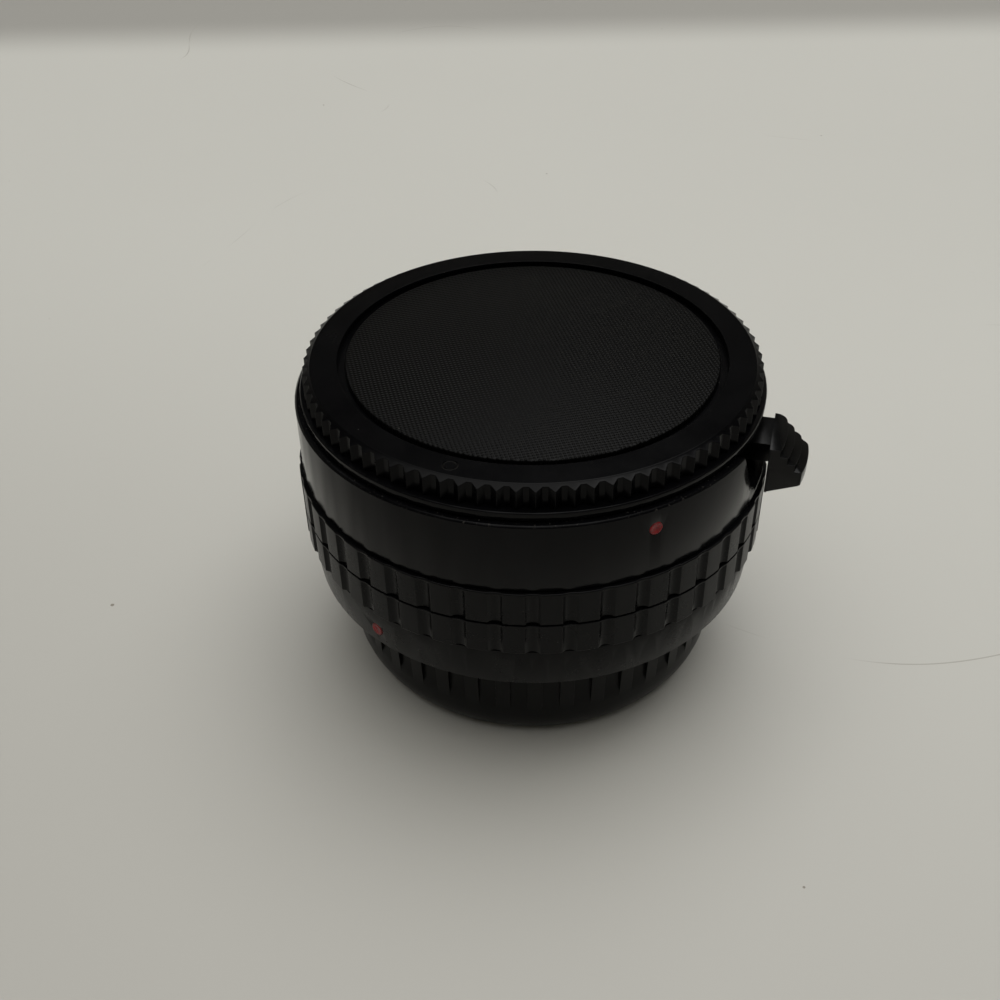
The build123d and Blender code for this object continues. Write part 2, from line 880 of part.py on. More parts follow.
# The slide hangs so high that the stem above it clears the notch's floor when pressed
slide_high = notch_low + release_travel + moving_gap
slide_low = slide_high - slide_thickness
slide_inner_radius = channel_outer_radius
slide_outer_radius = sleeve_radius - moving_gap
lock_pin_high = flange_face + lock_pin_proud
lock_pin_low = web_high - lock_pin_tail
release_plane = Plane(
    origin=(0, 0, 0),
    x_dir=(cos(radians(release_angle)), sin(radians(release_angle)), 0),
    z_dir=(0, 0, 1),
)
release_screw_radius = 0.5
release_screw_head_radius = 0.8
release_screw_head_height = 0.6
release_screw_offset = 2.05
release_screw_set_in = 0.7
release_screw_length = 2.6
release_screw_reach = slide_outer_radius - release_screw_set_in


def on_release(low, high, *shapes):
    # Bars along the lever's own direction, each (inner reach, outer reach, width)
    with BuildSketch(release_plane.offset(low)) as section:
        for inner, outer, width in shapes:
            with Locations(((inner + outer) / 2, 0)):
                Rectangle(outer - inner, width)
    extrude(section.sketch, amount=high - low)


def release_holes(radius, low, high, mode):
    with BuildSketch(release_plane.offset(low)) as section:
        for side in (-release_screw_offset, release_screw_offset):
            with Locations((release_screw_reach, side)):
                Circle(radius)
    extrude(section.sketch, amount=high - low, mode=mode)


with BuildPart() as release_slide:
    on_release(slide_low, slide_high, (slide_inner_radius, slide_outer_radius, slide_width))
    round_at(
        lock_pin_circle_radius,
        release_angle,
        lock_pin_radius + shell_clearance / 2,
        slide_low - overrun,
        slide_high + overrun,
        mode=Mode.SUBTRACT,
    )
    release_holes(
        release_screw_radius + screw_clearance, slide_low - overrun, slide_high + overrun, Mode.SUBTRACT
    )

with BuildPart() as lock_pin:
    round_at(lock_pin_circle_radius, release_angle, lock_pin_radius, slide_low, lock_pin_high)
    round_at(lock_pin_circle_radius, release_angle, spring_pin_radius, lock_pin_low, slide_low)
    chamfer(lock_pin.edges().group_by(Axis.Z)[-1], lock_pin_radius / 3)

# Release lever: a stem through the notch and a thumb block of four steps, each narrower
# than the one above, whose far corner is rounded more than the near one
lever_drop = 4.64
lever_width = 8.8
lever_taper = 0.5
lever_first_depth = 2.16
lever_step_count = 4
lever_step_reach = 1.0
lever_step_drop = 1.0
lever_arc_radius = 17.0
lever_far_corner = 1.3
lever_near_corner = 0.35
lever_wall_gap = 0.5
lever_block_height = 6.85
lever_chin_rise = 1.7
lever_chin_set_in = 0.9
lever_nose_height = 1.5
stem_width = 6.4
stem_tail_height = 1.6

stem_inner_radius = lock_pin_circle_radius
stem_neck_radius = shell_bore + moving_gap
lever_top = flange_face - lever_drop
lever_inner_radius = grip_radius + lever_wall_gap
lever_first_radius = lever_inner_radius + lever_first_depth
lever_outer_radius = lever_first_radius + (lever_step_count - 1) * lever_step_reach
lever_length = lever_outer_radius - stem_neck_radius
lever_foot = lever_top - lever_block_height
lever_chin = lever_foot + lever_chin_rise
lever_nose = lever_top - (lever_step_count - 1) * lever_step_drop - lever_nose_height
side_plane = Plane(
    origin=(0, 0, 0),
    x_dir=(cos(radians(release_angle)), sin(radians(release_angle)), 0),
    z_dir=(sin(radians(release_angle)), -cos(radians(release_angle)), 0),
)

with BuildPart() as release_lever:
    on_release(slide_high, slide_high + stem_tail_height, (stem_inner_radius, stem_neck_radius, stem_width))
    on_release(slide_high, lever_top, (stem_neck_radius, lever_first_radius - lever_step_reach, stem_width))
    for step in range(lever_step_count):
        step_radius = lever_first_radius + step * lever_step_reach
        step_width = lever_width - step * lever_taper
        with BuildSketch(release_plane.offset(lever_foot)) as tread:
            with Locations((step_radius - lever_arc_radius, 0)):
                Circle(lever_arc_radius)
            with Locations((lever_outer_radius, 0)):
                Rectangle(2 * lever_length, step_width, mode=Mode.INTERSECT)
            Circle(lever_inner_radius, mode=Mode.SUBTRACT)
            far_corner = tread.vertices().sort_by(Axis.X)[-2:].sort_by(Axis.Y)[-1]
            fillet(far_corner, lever_far_corner)
            near_corner = tread.vertices().sort_by(Axis.X)[-2:].sort_by(Axis.Y)[0]
            fillet(near_corner, lever_near_corner)
        extrude(tread.sketch, amount=lever_top - step * lever_step_drop - lever_foot)
    with BuildSketch(side_plane) as underside:
        Polygon(
            (lever_inner_radius - overrun, lever_foot - overrun),
            (lever_inner_radius - overrun, lever_foot),
            (lever_inner_radius, lever_foot),
            (lever_outer_radius - lever_chin_set_in, lever_chin),
            (lever_outer_radius, lever_nose),
            (lever_outer_radius + overrun, lever_nose + overrun),
            (lever_outer_radius + overrun, lever_foot - overrun),
            align=None,
        )
    extrude(underside.sketch, amount=lever_width, both=True, mode=Mode.SUBTRACT)
    release_holes(
        release_screw_radius + screw_clearance / 2,
        slide_high - overrun,
        slide_high + stem_tail_height + overrun,
        Mode.SUBTRACT,
    )
    round_at(
        lock_pin_circle_radius,
        release_angle,
        lock_pin_radius + shell_clearance,
        slide_high - overrun,
        slide_high + stem_tail_height + overrun,
        mode=Mode.SUBTRACT,
    )

with BuildPart() as release_screws:
    release_holes(release_screw_radius, slide_low, slide_low + release_screw_length, Mode.ADD)
    release_holes(release_screw_head_radius, slide_low - release_screw_head_height, slide_low, Mode.ADD)

# Release spring: a compression spring round the tail of the lock pin
spring_wire_radius = 0.16
spring_turns = 7
spring_coil_radius = 1.15
spring_end_gap = 0.05
spring_low = web_high + spring_end_gap + spring_wire_radius
spring_high = slide_low - spring_end_gap - spring_wire_radius
spring_centre = (
    lock_pin_circle_radius * cos(radians(release_angle)),
    lock_pin_circle_radius * sin(radians(release_angle)),
    spring_low,
)

with BuildPart() as release_spring:
    with BuildLine():
        coil = Helix(
            pitch=(spring_high - spring_low) / spring_turns,
            height=spring_high - spring_low,
            radius=spring_coil_radius,
            center=spring_centre,
        )
    with BuildSketch(Plane(origin=coil @ 0, z_dir=coil % 0)) as wire:
        Circle(spring_wire_radius)
    sweep(wire.sketch, path=coil)

# Body cap: knurled round its edge, recessed for an inlay and hollow beneath
cap_border = 3.56
cap_recess_depth = 1.0
cap_plate_thickness = 1.2
cap_skirt_wall = 1.4
cap_face_edge = 0.25
cap_knurl_top = 1.2
cap_knurl_count = 90
cap_knurl_depth = 0.45
knurl_floor_share = 0.35
cap_tube_length = 3.74
cap_index_angle = -112.0
cap_index_outer = 0.95
cap_index_inner = 0.7
cap_index_depth = 0.2
inlay_gap = 1.1
inlay_thickness = 0.8

cap_recess_radius = cap_face_radius - cap_border
cap_index_circle_radius = cap_face_radius - cap_border / 2
cap_tube_low = flange_face - cap_tube_length
cap_tab_low = cap_tube_low + tab_set_back
cap_plate_high = cap_face - cap_recess_depth
cap_plate_low = cap_plate_high - cap_plate_thickness
cap_hollow_radius = cap_radius - cap_skirt_wall
knurl_half_pitch = cap_radius * sin(radians(180 / cap_knurl_count))
knurl_half_floor = knurl_half_pitch * knurl_floor_share

with BuildPart() as front_cap:
    turned(
        (0, cap_plate_low),
        (cap_hollow_radius, cap_plate_low),
        (cap_hollow_radius, flange_face),
        (cap_radius, flange_face),
        (cap_radius, cap_face - cap_knurl_top),
        (cap_face_radius + cap_face_edge, cap_face - cap_face_edge),
        (cap_face_radius, cap_face),
        (cap_recess_radius, cap_face),
        (cap_recess_radius, cap_plate_high),
        (0, cap_plate_high),
    )
    ring(tube_bore_radius, tube_radius, cap_tube_low, cap_plate_low)
    for index in range(lug_count):
        ring_sector(
            tube_radius - running_clearance,
            tab_radius,
            front_dot_angle + lug_pitch * index,
            tab_angle,
            cap_tab_low,
            cap_tab_low + tab_thickness,
        )
    with BuildSketch(Plane.XY.offset(flange_face)) as knurl:
        with PolarLocations(cap_radius, cap_knurl_count):
            Polygon(
                (-cap_knurl_depth, -knurl_half_floor),
                (0, -knurl_half_pitch),
                (cap_knurl_depth, -knurl_half_pitch),
                (cap_knurl_depth, knurl_half_pitch),
                (0, knurl_half_pitch),
                (-cap_knurl_depth, knurl_half_floor),
                align=None,
            )
    extrude(knurl.sketch, amount=cap_height, mode=Mode.SUBTRACT)
    with BuildSketch(Plane.XY.offset(cap_face)) as index_mark:
        with Locations(
            (
                cap_index_circle_radius * cos(radians(cap_index_angle)),
                cap_index_circle_radius * sin(radians(cap_index_angle)),
            )
        ):
            Circle(cap_index_outer)
            Circle(cap_index_inner, mode=Mode.SUBTRACT)
    extrude(index_mark.sketch, amount=-cap_index_depth, mode=Mode.SUBTRACT)

with BuildPart() as front_cap_inlay:
    ring(0, cap_recess_radius - inlay_gap, cap_plate_high, cap_plate_high + inlay_thickness)
    fillet(front_cap_inlay.edges().group_by(Axis.Z)[-1], inlay_thickness / 4)

# Rear lens cap: ribbed round its upper half, rounded at its foot, with an inner wall
# that carries three lugs
cap_floor = 1.6
cap_outer_wall = 2.0
cap_inner_wall = 0.75
rib_count = 44
rib_share = 0.45
rib_depth = 0.8
rib_centre_angle = -90.25
rib_height = 4.7
rib_fade = 2.0
cap_side_height = 7.5
cap_foot_round_shares = (0.72, 0.4)
cap_side_lean = 0.4
cap_lug_thickness = 1.5

cap_inner_wall_radius = bayonet_bore_radius + cap_inner_wall
cap_inner_wall_high = rear_cap_height - moving_gap
rib_low = rear_cap_height - rib_height
cap_side_low = rear_cap_height - cap_side_height
cap_side_radius = rear_cap_radius - cap_side_lean
cap_foot_reach = cap_side_radius - rear_cap_foot_radius
groove_angle = 360 / rib_count * (1 - rib_share)
first_groove = rib_centre_angle + 360 / rib_count * rib_share / 2

with BuildPart() as rib_groove:
    with BuildSketch(Plane.XZ) as groove_section:
        with BuildLine():
            Polyline(
                (rear_cap_radius - rib_depth, rear_cap_height + overrun),
                (rear_cap_radius + overrun, rear_cap_height + overrun),
                (rear_cap_radius + overrun, rib_low - rib_fade),
                (cap_side_radius, rib_low - rib_fade),
                (rear_cap_radius - rib_depth, rib_low),
                close=True,
            )
        make_face()
    revolve(groove_section.sketch, axis=Axis.Z, revolution_arc=groove_angle)

with BuildPart() as rear_cap:
    with BuildSketch(Plane.XZ) as cap_section:
        with BuildLine():
            foot = Line((0, 0), (rear_cap_foot_radius, 0))
            side = Line((cap_side_radius, cap_side_low), (rear_cap_radius, rear_cap_height))
            ThreePointArc(
                foot @ 1,
                (
                    rear_cap_foot_radius + cap_foot_reach * cap_foot_round_shares[0],
                    cap_side_low * cap_foot_round_shares[1],
                ),
                side @ 0,
            )
            Polyline(
                side @ 1,
                (rear_cap_radius - cap_outer_wall, rear_cap_height),
                (rear_cap_radius - cap_outer_wall - cap_side_lean, cap_side_low),
                (rear_cap_foot_radius, cap_floor),
                (cap_inner_wall_radius, cap_floor),
                (cap_inner_wall_radius, cap_inner_wall_high),
                (bayonet_bore_radius, cap_inner_wall_high),
                (bayonet_bore_radius, cap_floor),
                (0, cap_floor),
                foot @ 0,
            )
        make_face()
    revolve(cap_section.sketch, axis=Axis.Z)
    for index in range(lug_count):
        ring_sector(
            lug_radius,
            bayonet_bore_radius + overrun / 4,
            rear_dot_angle + lug_pitch * (index + 1 / 2),
            lug_angle,
            cap_inner_wall_high - cap_lug_thickness,
            cap_inner_wall_high,
        )
    with PolarLocations(0, rib_count, start_angle=first_groove):
        add(rib_groove.part, mode=Mode.SUBTRACT)

save(front_barrel, "front_barrel")
save(grip_ring, "grip_ring")
save(rear_barrel, "rear_barrel")
save(chassis, "chassis")
save(front_bayonet, "front_bayonet")
save(front_bayonet_screws, "front_bayonet_screws")
save(bayonet_springs, "bayonet_springs")
save(rear_bayonet, "rear_bayonet")
save(rear_bayonet_screws, "rear_bayonet_screws")
save(front_index_dot, "front_index_dot")
save(rear_index_dot, "rear_index_dot")
save(lens_cell, "lens_cell")
save(cell_screws, "cell_screws")
save(front_element, "front_element")
save(second_element, "second_element")
save(third_element, "third_element")
save(rear_element, "rear_element")
save(front_spacer, "front_spacer")
save(rear_spacer, "rear_spacer")
save(front_retaining_ring, "front_retaining_ring")
save(rear_retaining_ring, "rear_retaining_ring")
save(rear_baffle, "rear_baffle")
save(baffle_screws, "baffle_screws")
save(aperture_ring, "aperture_ring")
save(aperture_ring_clip, "aperture_ring_clip")
save(stop_down_ring, "stop_down_ring")
save(stop_down_clip, "stop_down_clip")
save(release_lever, "release_lever")
save(release_slide, "release_slide")
save(lock_pin, "lock_pin")
save(release_screws, "release_screws")
save(release_spring, "release_spring")
save(front_cap, "front_cap")
save(front_cap_inlay, "front_cap_inlay")
save(rear_cap, "rear_cap")
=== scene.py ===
from math import cos, pi, radians, sin, sqrt, tau

import bmesh
import bpy
from mathutils import Euler, Matrix, Vector


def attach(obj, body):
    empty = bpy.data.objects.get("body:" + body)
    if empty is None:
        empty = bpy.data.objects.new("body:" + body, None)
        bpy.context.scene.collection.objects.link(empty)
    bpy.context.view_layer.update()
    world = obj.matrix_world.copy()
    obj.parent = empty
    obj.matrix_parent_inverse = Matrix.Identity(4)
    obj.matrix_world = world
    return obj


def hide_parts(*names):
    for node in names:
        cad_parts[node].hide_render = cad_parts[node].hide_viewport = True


# A camera teleconverter standing on its rear lens cap, with a body cap in its front mount.
# Lengths in the dictionaries are millimetres and angles are degrees, from +X where they give a place;
# meshes, and the softbox over them, are in metres.

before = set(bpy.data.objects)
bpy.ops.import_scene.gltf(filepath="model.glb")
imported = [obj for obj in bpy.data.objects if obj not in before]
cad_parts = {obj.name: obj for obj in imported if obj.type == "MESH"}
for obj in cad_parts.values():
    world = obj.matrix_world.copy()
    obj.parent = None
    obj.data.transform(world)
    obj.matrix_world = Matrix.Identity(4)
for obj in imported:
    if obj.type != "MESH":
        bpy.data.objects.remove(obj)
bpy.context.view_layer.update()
mm = 0.001
meshing = {"merge": 0.001, "degenerate": 0.0005, "solidMerge": 0.002, "flat": 0.8}
print("frame loaded:", len(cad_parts), "nodes")


def polar(radius, angle, height):
    return Vector((radius * cos(radians(angle)), radius * sin(radians(angle)), height)) * mm


def srgb(code):
    parts = [int(code[i:i + 2], 16) / 255 for i in (1, 3, 5)]
    return tuple(c / 12.92 if c <= 0.04045 else ((c + 0.055) / 1.055) ** 2.4 for c in parts) + (1.0,)


def turn(bm, outline, steps, closed=True):
    # spins a (radius, height) outline once round the optical axis
    verts = [bm.verts.new((r * mm, 0, z * mm)) for r, z in outline]
    ends = verts[1:] + verts[:1] if closed else verts[1:]
    edges = [bm.edges.new(pair) for pair in zip(verts, ends)]
    bmesh.ops.spin(bm, geom=verts + edges, cent=(0, 0, 0), axis=(0, 0, 1), angle=tau, steps=steps,
                   use_merge=True)


def liftPlaces(bm, rows):
    # a line of points, extruded from each row of places to the next
    column = bm.verts.layers.int.get("column") or bm.verts.layers.int.new("column")
    line = []
    for i, place in enumerate(rows[0]):
        vert = bm.verts.new(place)
        vert[column] = i
        line.append(vert)
    edges = [bm.edges.new(pair) for pair in zip(line, line[1:])]
    for row in rows[1:]:
        made = bmesh.ops.extrude_edge_only(bm, edges=edges)["geom"]
        fresh = {g for g in made if isinstance(g, bmesh.types.BMVert)}
        for vert in fresh:
            vert.co = row[vert[column]]
        edges = [g for g in made if isinstance(g, bmesh.types.BMEdge) and set(g.verts) <= fresh]


def liftRows(bm, angles, rows):
    # one column of points per angle, through rows of (radius, height)
    liftPlaces(bm, [[polar(r, angle, z) for angle, (r, z) in zip(angles, row)] for row in rows])


def repeat(bm, count):
    geom = bm.verts[:] + bm.edges[:] + bm.faces[:]
    bmesh.ops.spin(bm, geom=geom, cent=(0, 0, 0), axis=(0, 0, 1), angle=tau * (count - 1) / count,
                   steps=count - 1, use_duplicate=True)


def merge(bm, verts):
    bmesh.ops.remove_doubles(bm, verts=verts, dist=meshing["merge"] * mm)


def sector(bm, inner, outer, centre, span, low, high, steps=12):
    # a closed arc-shaped block
    angles = [centre - span / 2 + span * i / steps for i in range(steps + 1)]
    corners = ((inner, low), (outer, low), (outer, high), (inner, high), (inner, low))
    start = len(bm.verts)
    liftRows(bm, angles, [[corner] * len(angles) for corner in corners])
    bm.verts.ensure_lookup_table()
    merge(bm, bm.verts[start:])
    rims = [e for e in bm.edges if e.is_boundary and all(v.index >= start or v.index < 0 for v in e.verts)]
    bmesh.ops.holes_fill(bm, edges=rims)


def addPiece(bm, name, body, material, nodes=(), bevel=0.0, segments=2, limit=35):
    # merges, turns the faces outwards and makes a finished object of the mesh
    merge(bm, bm.verts[:])
    bmesh.ops.dissolve_degenerate(bm, edges=bm.edges[:], dist=meshing["degenerate"] * mm)
    bmesh.ops.recalc_face_normals(bm, faces=bm.faces[:])
    mesh = bpy.data.meshes.new(name)
    bm.to_mesh(mesh)
    bm.free()
    mesh.shade_smooth()
    piece = bpy.data.objects.new(name, mesh)
    bpy.context.scene.collection.objects.link(piece)
    mesh.materials.append(material)
    if bevel:
        rounding = piece.modifiers.new("rounding", "BEVEL")
        rounding.width = bevel * mm
        rounding.segments = segments
        rounding.limit_method = "ANGLE"
        rounding.angle_limit = radians(limit)
        rounding.harden_normals = True
        rounding.use_clamp_overlap = True
    else:
        mesh.set_sharp_from_angle(angle=radians(limit))
    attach(piece, body)
    if nodes:
        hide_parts(*nodes)
    return piece


def solidCopy(node):
    # a solid's mesh with its loose triangles joined
    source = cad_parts[node]
    bm = bmesh.new()
    bm.from_mesh(source.data)
    bmesh.ops.transform(bm, matrix=source.matrix_world, verts=bm.verts[:])
    bmesh.ops.remove_doubles(bm, verts=bm.verts[:], dist=meshing["solidMerge"] * mm)
    return bm


def flatten(bm):
    # joins the triangles of each flat face again
    bmesh.ops.dissolve_limit(bm, angle_limit=radians(meshing["flat"]), verts=bm.verts[:], edges=bm.edges[:])


def softened(node, name, body, material, look):
    # a solid's own shape with its edges rounded
    bm = solidCopy(node)
    flatten(bm)
    return addPiece(bm, name, body, material, [node], look["bevel"], look["segments"], look["limit"])


def addNode(tree, kind, settings):
    # attributes and sockets by name; a socket of another node is linked
    node = tree.nodes.new(kind)
    for name, value in settings.items():
        if isinstance(name, str) and hasattr(node, name):
            setattr(node, name, value)
            continue
        socket = node.inputs[name]
        if isinstance(value, bpy.types.NodeSocket):
            tree.links.new(value, socket)
        else:
            socket.default_value = value
    return node


pattern = {
    "grainDetail": 3.0, "grainRoughness": 0.6, "smudgeDetail": 4.0, "smudgeRoughness": 0.65,
    "rubbed": (0.35, 0.75), "smudged": (0.3, 0.7), "dustyFrom": 0.6}


def surface(name, look):
    # common to the moulded, painted and anodised finishes: grain, smudges, dust and rubbed spots
    material = bpy.data.materials.new(name)
    material.use_nodes = True
    tree = material.node_tree
    shader = tree.nodes["Principled BSDF"]
    where = addNode(tree, "ShaderNodeTexCoord", {}).outputs["Object"]
    grain = addNode(tree, "ShaderNodeTexNoise", {
        "Vector": where, "Scale": 1 / (look["grain"] * mm), "Detail": pattern["grainDetail"],
        "Roughness": pattern["grainRoughness"]})
    smudge = addNode(tree, "ShaderNodeTexNoise", {
        "Vector": where, "Scale": 1 / (look["smudge"] * mm), "Detail": pattern["smudgeDetail"],
        "Roughness": pattern["smudgeRoughness"]})
    # a few of the cells hold a speck of dust
    cells = addNode(tree, "ShaderNodeTexVoronoi", {"Vector": where, "Scale": 1 / (look["dustSpacing"] * mm)})
    chosen = addNode(tree, "ShaderNodeSeparateColor", {"Color": cells.outputs["Color"]})
    reach = addNode(tree, "ShaderNodeMapRange", {
        "Value": chosen.outputs["Red"], "From Min": pattern["dustyFrom"], "From Max": 1.0,
        "To Min": 0.0, "To Max": look["dustSize"] / look["dustSpacing"]})
    speck = addNode(tree, "ShaderNodeMath", {
        "operation": "LESS_THAN", 0: cells.outputs["Distance"], 1: reach.outputs["Result"]})
    # colour: base, lighter where it is rubbed, dust on top
    tone = addNode(tree, "ShaderNodeMapRange", {
        "Value": smudge.outputs["Fac"], "From Min": pattern["rubbed"][0], "From Max": pattern["rubbed"][1],
        "To Min": 0.0, "To Max": 1.0})
    base = addNode(tree, "ShaderNodeMix", {
        "data_type": "RGBA", 0: tone.outputs["Result"], 6: srgb(look["colour"]), 7: srgb(look["rubbed"])})
    dusty = addNode(tree, "ShaderNodeMath", {
        "operation": "MULTIPLY", 0: speck.outputs[0], 1: look["dust"]})
    colour = addNode(tree, "ShaderNodeMix", {
        "data_type": "RGBA", 0: dusty.outputs[0], 6: base.outputs[2], 7: srgb(look["dustColour"])})
    tree.links.new(colour.outputs[2], shader.inputs["Base Color"])
    # roughness: smudges and grain
    low, high = look["roughness"]
    rough = addNode(tree, "ShaderNodeMapRange", {
        "Value": smudge.outputs["Fac"], "From Min": pattern["smudged"][0], "From Max": pattern["smudged"][1],
        "To Min": low, "To Max": high})
    rougher = addNode(tree, "ShaderNodeMath", {
        "operation": "MAXIMUM", 0: rough.outputs["Result"], 1: speck.outputs[0]})
    tree.links.new(rougher.outputs[0], shader.inputs["Roughness"])
    bump = addNode(tree, "ShaderNodeBump", {
        "Height": grain.outputs["Fac"], "Strength": look["grainStrength"], "Distance": look["grainDepth"] * mm})
    tree.links.new(bump.outputs["Normal"], shader.inputs["Normal"])
    shader.inputs["Metallic"].default_value = look.get("metallic", 0.0)
    shader.inputs["IOR"].default_value = look.get("ior", 1.5)
    shader.inputs["Specular IOR Level"].default_value = look.get("specular", 0.5)
    return material, tree, shader, where, bump


plainDust = {"dustSpacing": 2.4, "dustSize": 0.08, "dust": 0.3, "dustColour": "#8f8d86"}
capMark = {"circle": 27.78, "angle": -112.0, "height": 46.8, "radius": 0.85, "width": 0.18, "depth": 0.2}
chips = {"low": 42.02, "high": 42.3, "size": 0.45, "worn": (0.62, 0.67), "colour": "#33312e"}


def chippedEnamel():
    # gloss stove enamel on aluminium: deep black with mirror-like sides, chipped along its upper shoulder
    material, tree, shader, where, _ = surface("glossBlackEnamel", plainDust | {
        "colour": "#050506", "rubbed": "#08080a", "roughness": (0.13, 0.2), "smudge": 9.0,
        "grain": 0.9, "grainStrength": 0.1, "grainDepth": 0.02, "ior": 1.5, "specular": 0.14})
    height = addNode(tree, "ShaderNodeSeparateXYZ", {"Vector": where}).outputs["Z"]
    above = addNode(tree, "ShaderNodeMath", {"operation": "GREATER_THAN", 0: height, 1: chips["low"] * mm})
    below = addNode(tree, "ShaderNodeMath", {"operation": "LESS_THAN", 0: height, 1: chips["high"] * mm})
    flakes = addNode(tree, "ShaderNodeTexNoise", {
        "Vector": where, "Scale": 1 / (chips["size"] * mm), "Detail": 3.0, "Roughness": 0.7})
    worn = addNode(tree, "ShaderNodeMapRange", {
        "Value": flakes.outputs["Fac"], "From Min": chips["worn"][0], "From Max": chips["worn"][1],
        "To Min": 0.0, "To Max": 1.0})
    band = addNode(tree, "ShaderNodeMath", {"operation": "MULTIPLY", 0: above.outputs[0], 1: below.outputs[0]})
    mask = addNode(tree, "ShaderNodeMath", {
        "operation": "MULTIPLY", 0: band.outputs[0], 1: worn.outputs["Result"]})
    painted = shader.inputs["Base Color"].links[0].from_socket
    colour = addNode(tree, "ShaderNodeMix", {
        "data_type": "RGBA", 0: mask.outputs[0], 6: painted, 7: srgb(chips["colour"])})
    tree.links.new(colour.outputs[2], shader.inputs["Base Color"])
    return material


def markedAbs():
    # moulded ABS, lightly spark-eroded tool: even soft sheen, with the index ring sunk in the border
    material, tree, shader, where, bump = surface("mouldedBlackAbs", plainDust | {
        "colour": "#030304", "rubbed": "#050506", "roughness": (0.2, 0.28), "smudge": 7.0,
        "grain": 0.22, "grainStrength": 0.2, "grainDepth": 0.02, "ior": 1.53, "specular": 0.09})
    centre = polar(capMark["circle"], capMark["angle"], capMark["height"])
    away = addNode(tree, "ShaderNodeVectorMath", {"operation": "DISTANCE", 0: where, 1: tuple(centre)})
    beside = addNode(tree, "ShaderNodeMath", {
        "operation": "SUBTRACT", 0: away.outputs["Value"], 1: capMark["radius"] * mm})
    off = addNode(tree, "ShaderNodeMath", {"operation": "ABSOLUTE", 0: beside.outputs[0]})
    line = addNode(tree, "ShaderNodeMapRange", {
        "Value": off.outputs[0], "From Min": 0.0, "From Max": capMark["width"] * mm, "To Min": 1.0, "To Max": 0.0})
    groove = addNode(tree, "ShaderNodeBump", {
        "invert": True, "Height": line.outputs["Result"], "Strength": 1.0, "Distance": capMark["depth"] * mm,
        "Normal": bump.outputs["Normal"]})
    tree.links.new(groove.outputs["Normal"], shader.inputs["Normal"])
    return material


glossEnamel = chippedEnamel()
capAbs = markedAbs()
# satin enamel on machined aluminium: soft broad highlights
satinEnamel = surface("satinBlackEnamel", plainDust | {
    "colour": "#060607", "rubbed": "#0a0a0b", "roughness": (0.24, 0.34), "smudge": 6.0,
    "grain": 0.35, "grainStrength": 0.25, "grainDepth": 0.02, "ior": 1.5, "specular": 0.14})[0]
# moulded polyethylene of the rear cap: waxy, a little duller
rearCapPlastic = surface("mouldedBlackPolyethylene", plainDust | {
    "colour": "#050505", "rubbed": "#090909", "roughness": (0.3, 0.4), "smudge": 5.0,
    "grain": 0.3, "grainStrength": 0.3, "grainDepth": 0.025, "ior": 1.5, "specular": 0.14})[0]
# moulded acetal of the lever: slippery, its edges polished by thumbs
leverPlastic = surface("mouldedBlackAcetal", plainDust | {
    "colour": "#050505", "rubbed": "#090909", "roughness": (0.15, 0.22), "smudge": 4.0,
    "grain": 0.3, "grainStrength": 0.1, "grainDepth": 0.02, "ior": 1.48, "specular": 0.24})[0]
# matt black anodised aluminium: grey-black, no clear reflection
anodised = surface("mattBlackAnodised", plainDust | {
    "colour": "#161617", "rubbed": "#202021", "roughness": (0.5, 0.62), "smudge": 5.0, "dust": 0.1,
    "grain": 0.15, "grainStrength": 0.3, "grainDepth": 0.015, "ior": 1.6})[0]
# red cellulose paint pressed into a drilled dimple: uneven, dirty towards its edge
redPaint = surface("redFillerPaint", plainDust | {
    "colour": "#8c0a12", "rubbed": "#3c0508", "roughness": (0.2, 0.35), "smudge": 0.6, "dust": 0.1,
    "grain": 0.5, "grainStrength": 0.9, "grainDepth": 0.09, "ior": 1.5, "specular": 0.3})[0]
# satin chrome on turned brass: bright, brushed round the axis
chrome = surface("satinChromedBrass", plainDust | {
    "colour": "#c9c8c6", "rubbed": "#b5b3b0", "roughness": (0.2, 0.34), "smudge": 6.0, "dust": 0.0,
    "grain": 0.12, "grainStrength": 0.15, "grainDepth": 0.01, "metallic": 1.0})[0]
# plain steel of screws, springs and levers: grey, a little rubbed
steel = surface("plainSteel", plainDust | {
    "colour": "#a9a7a3", "rubbed": "#8f8d89", "roughness": (0.28, 0.42), "smudge": 3.0, "dust": 0.0,
    "grain": 0.1, "grainStrength": 0.2, "grainDepth": 0.01, "metallic": 1.0})[0]


weave = {"pitch": 0.52, "turn": -13.0, "depth": 0.09, "strength": 0.9, "waver": 0.6, "waverSize": 0.2}


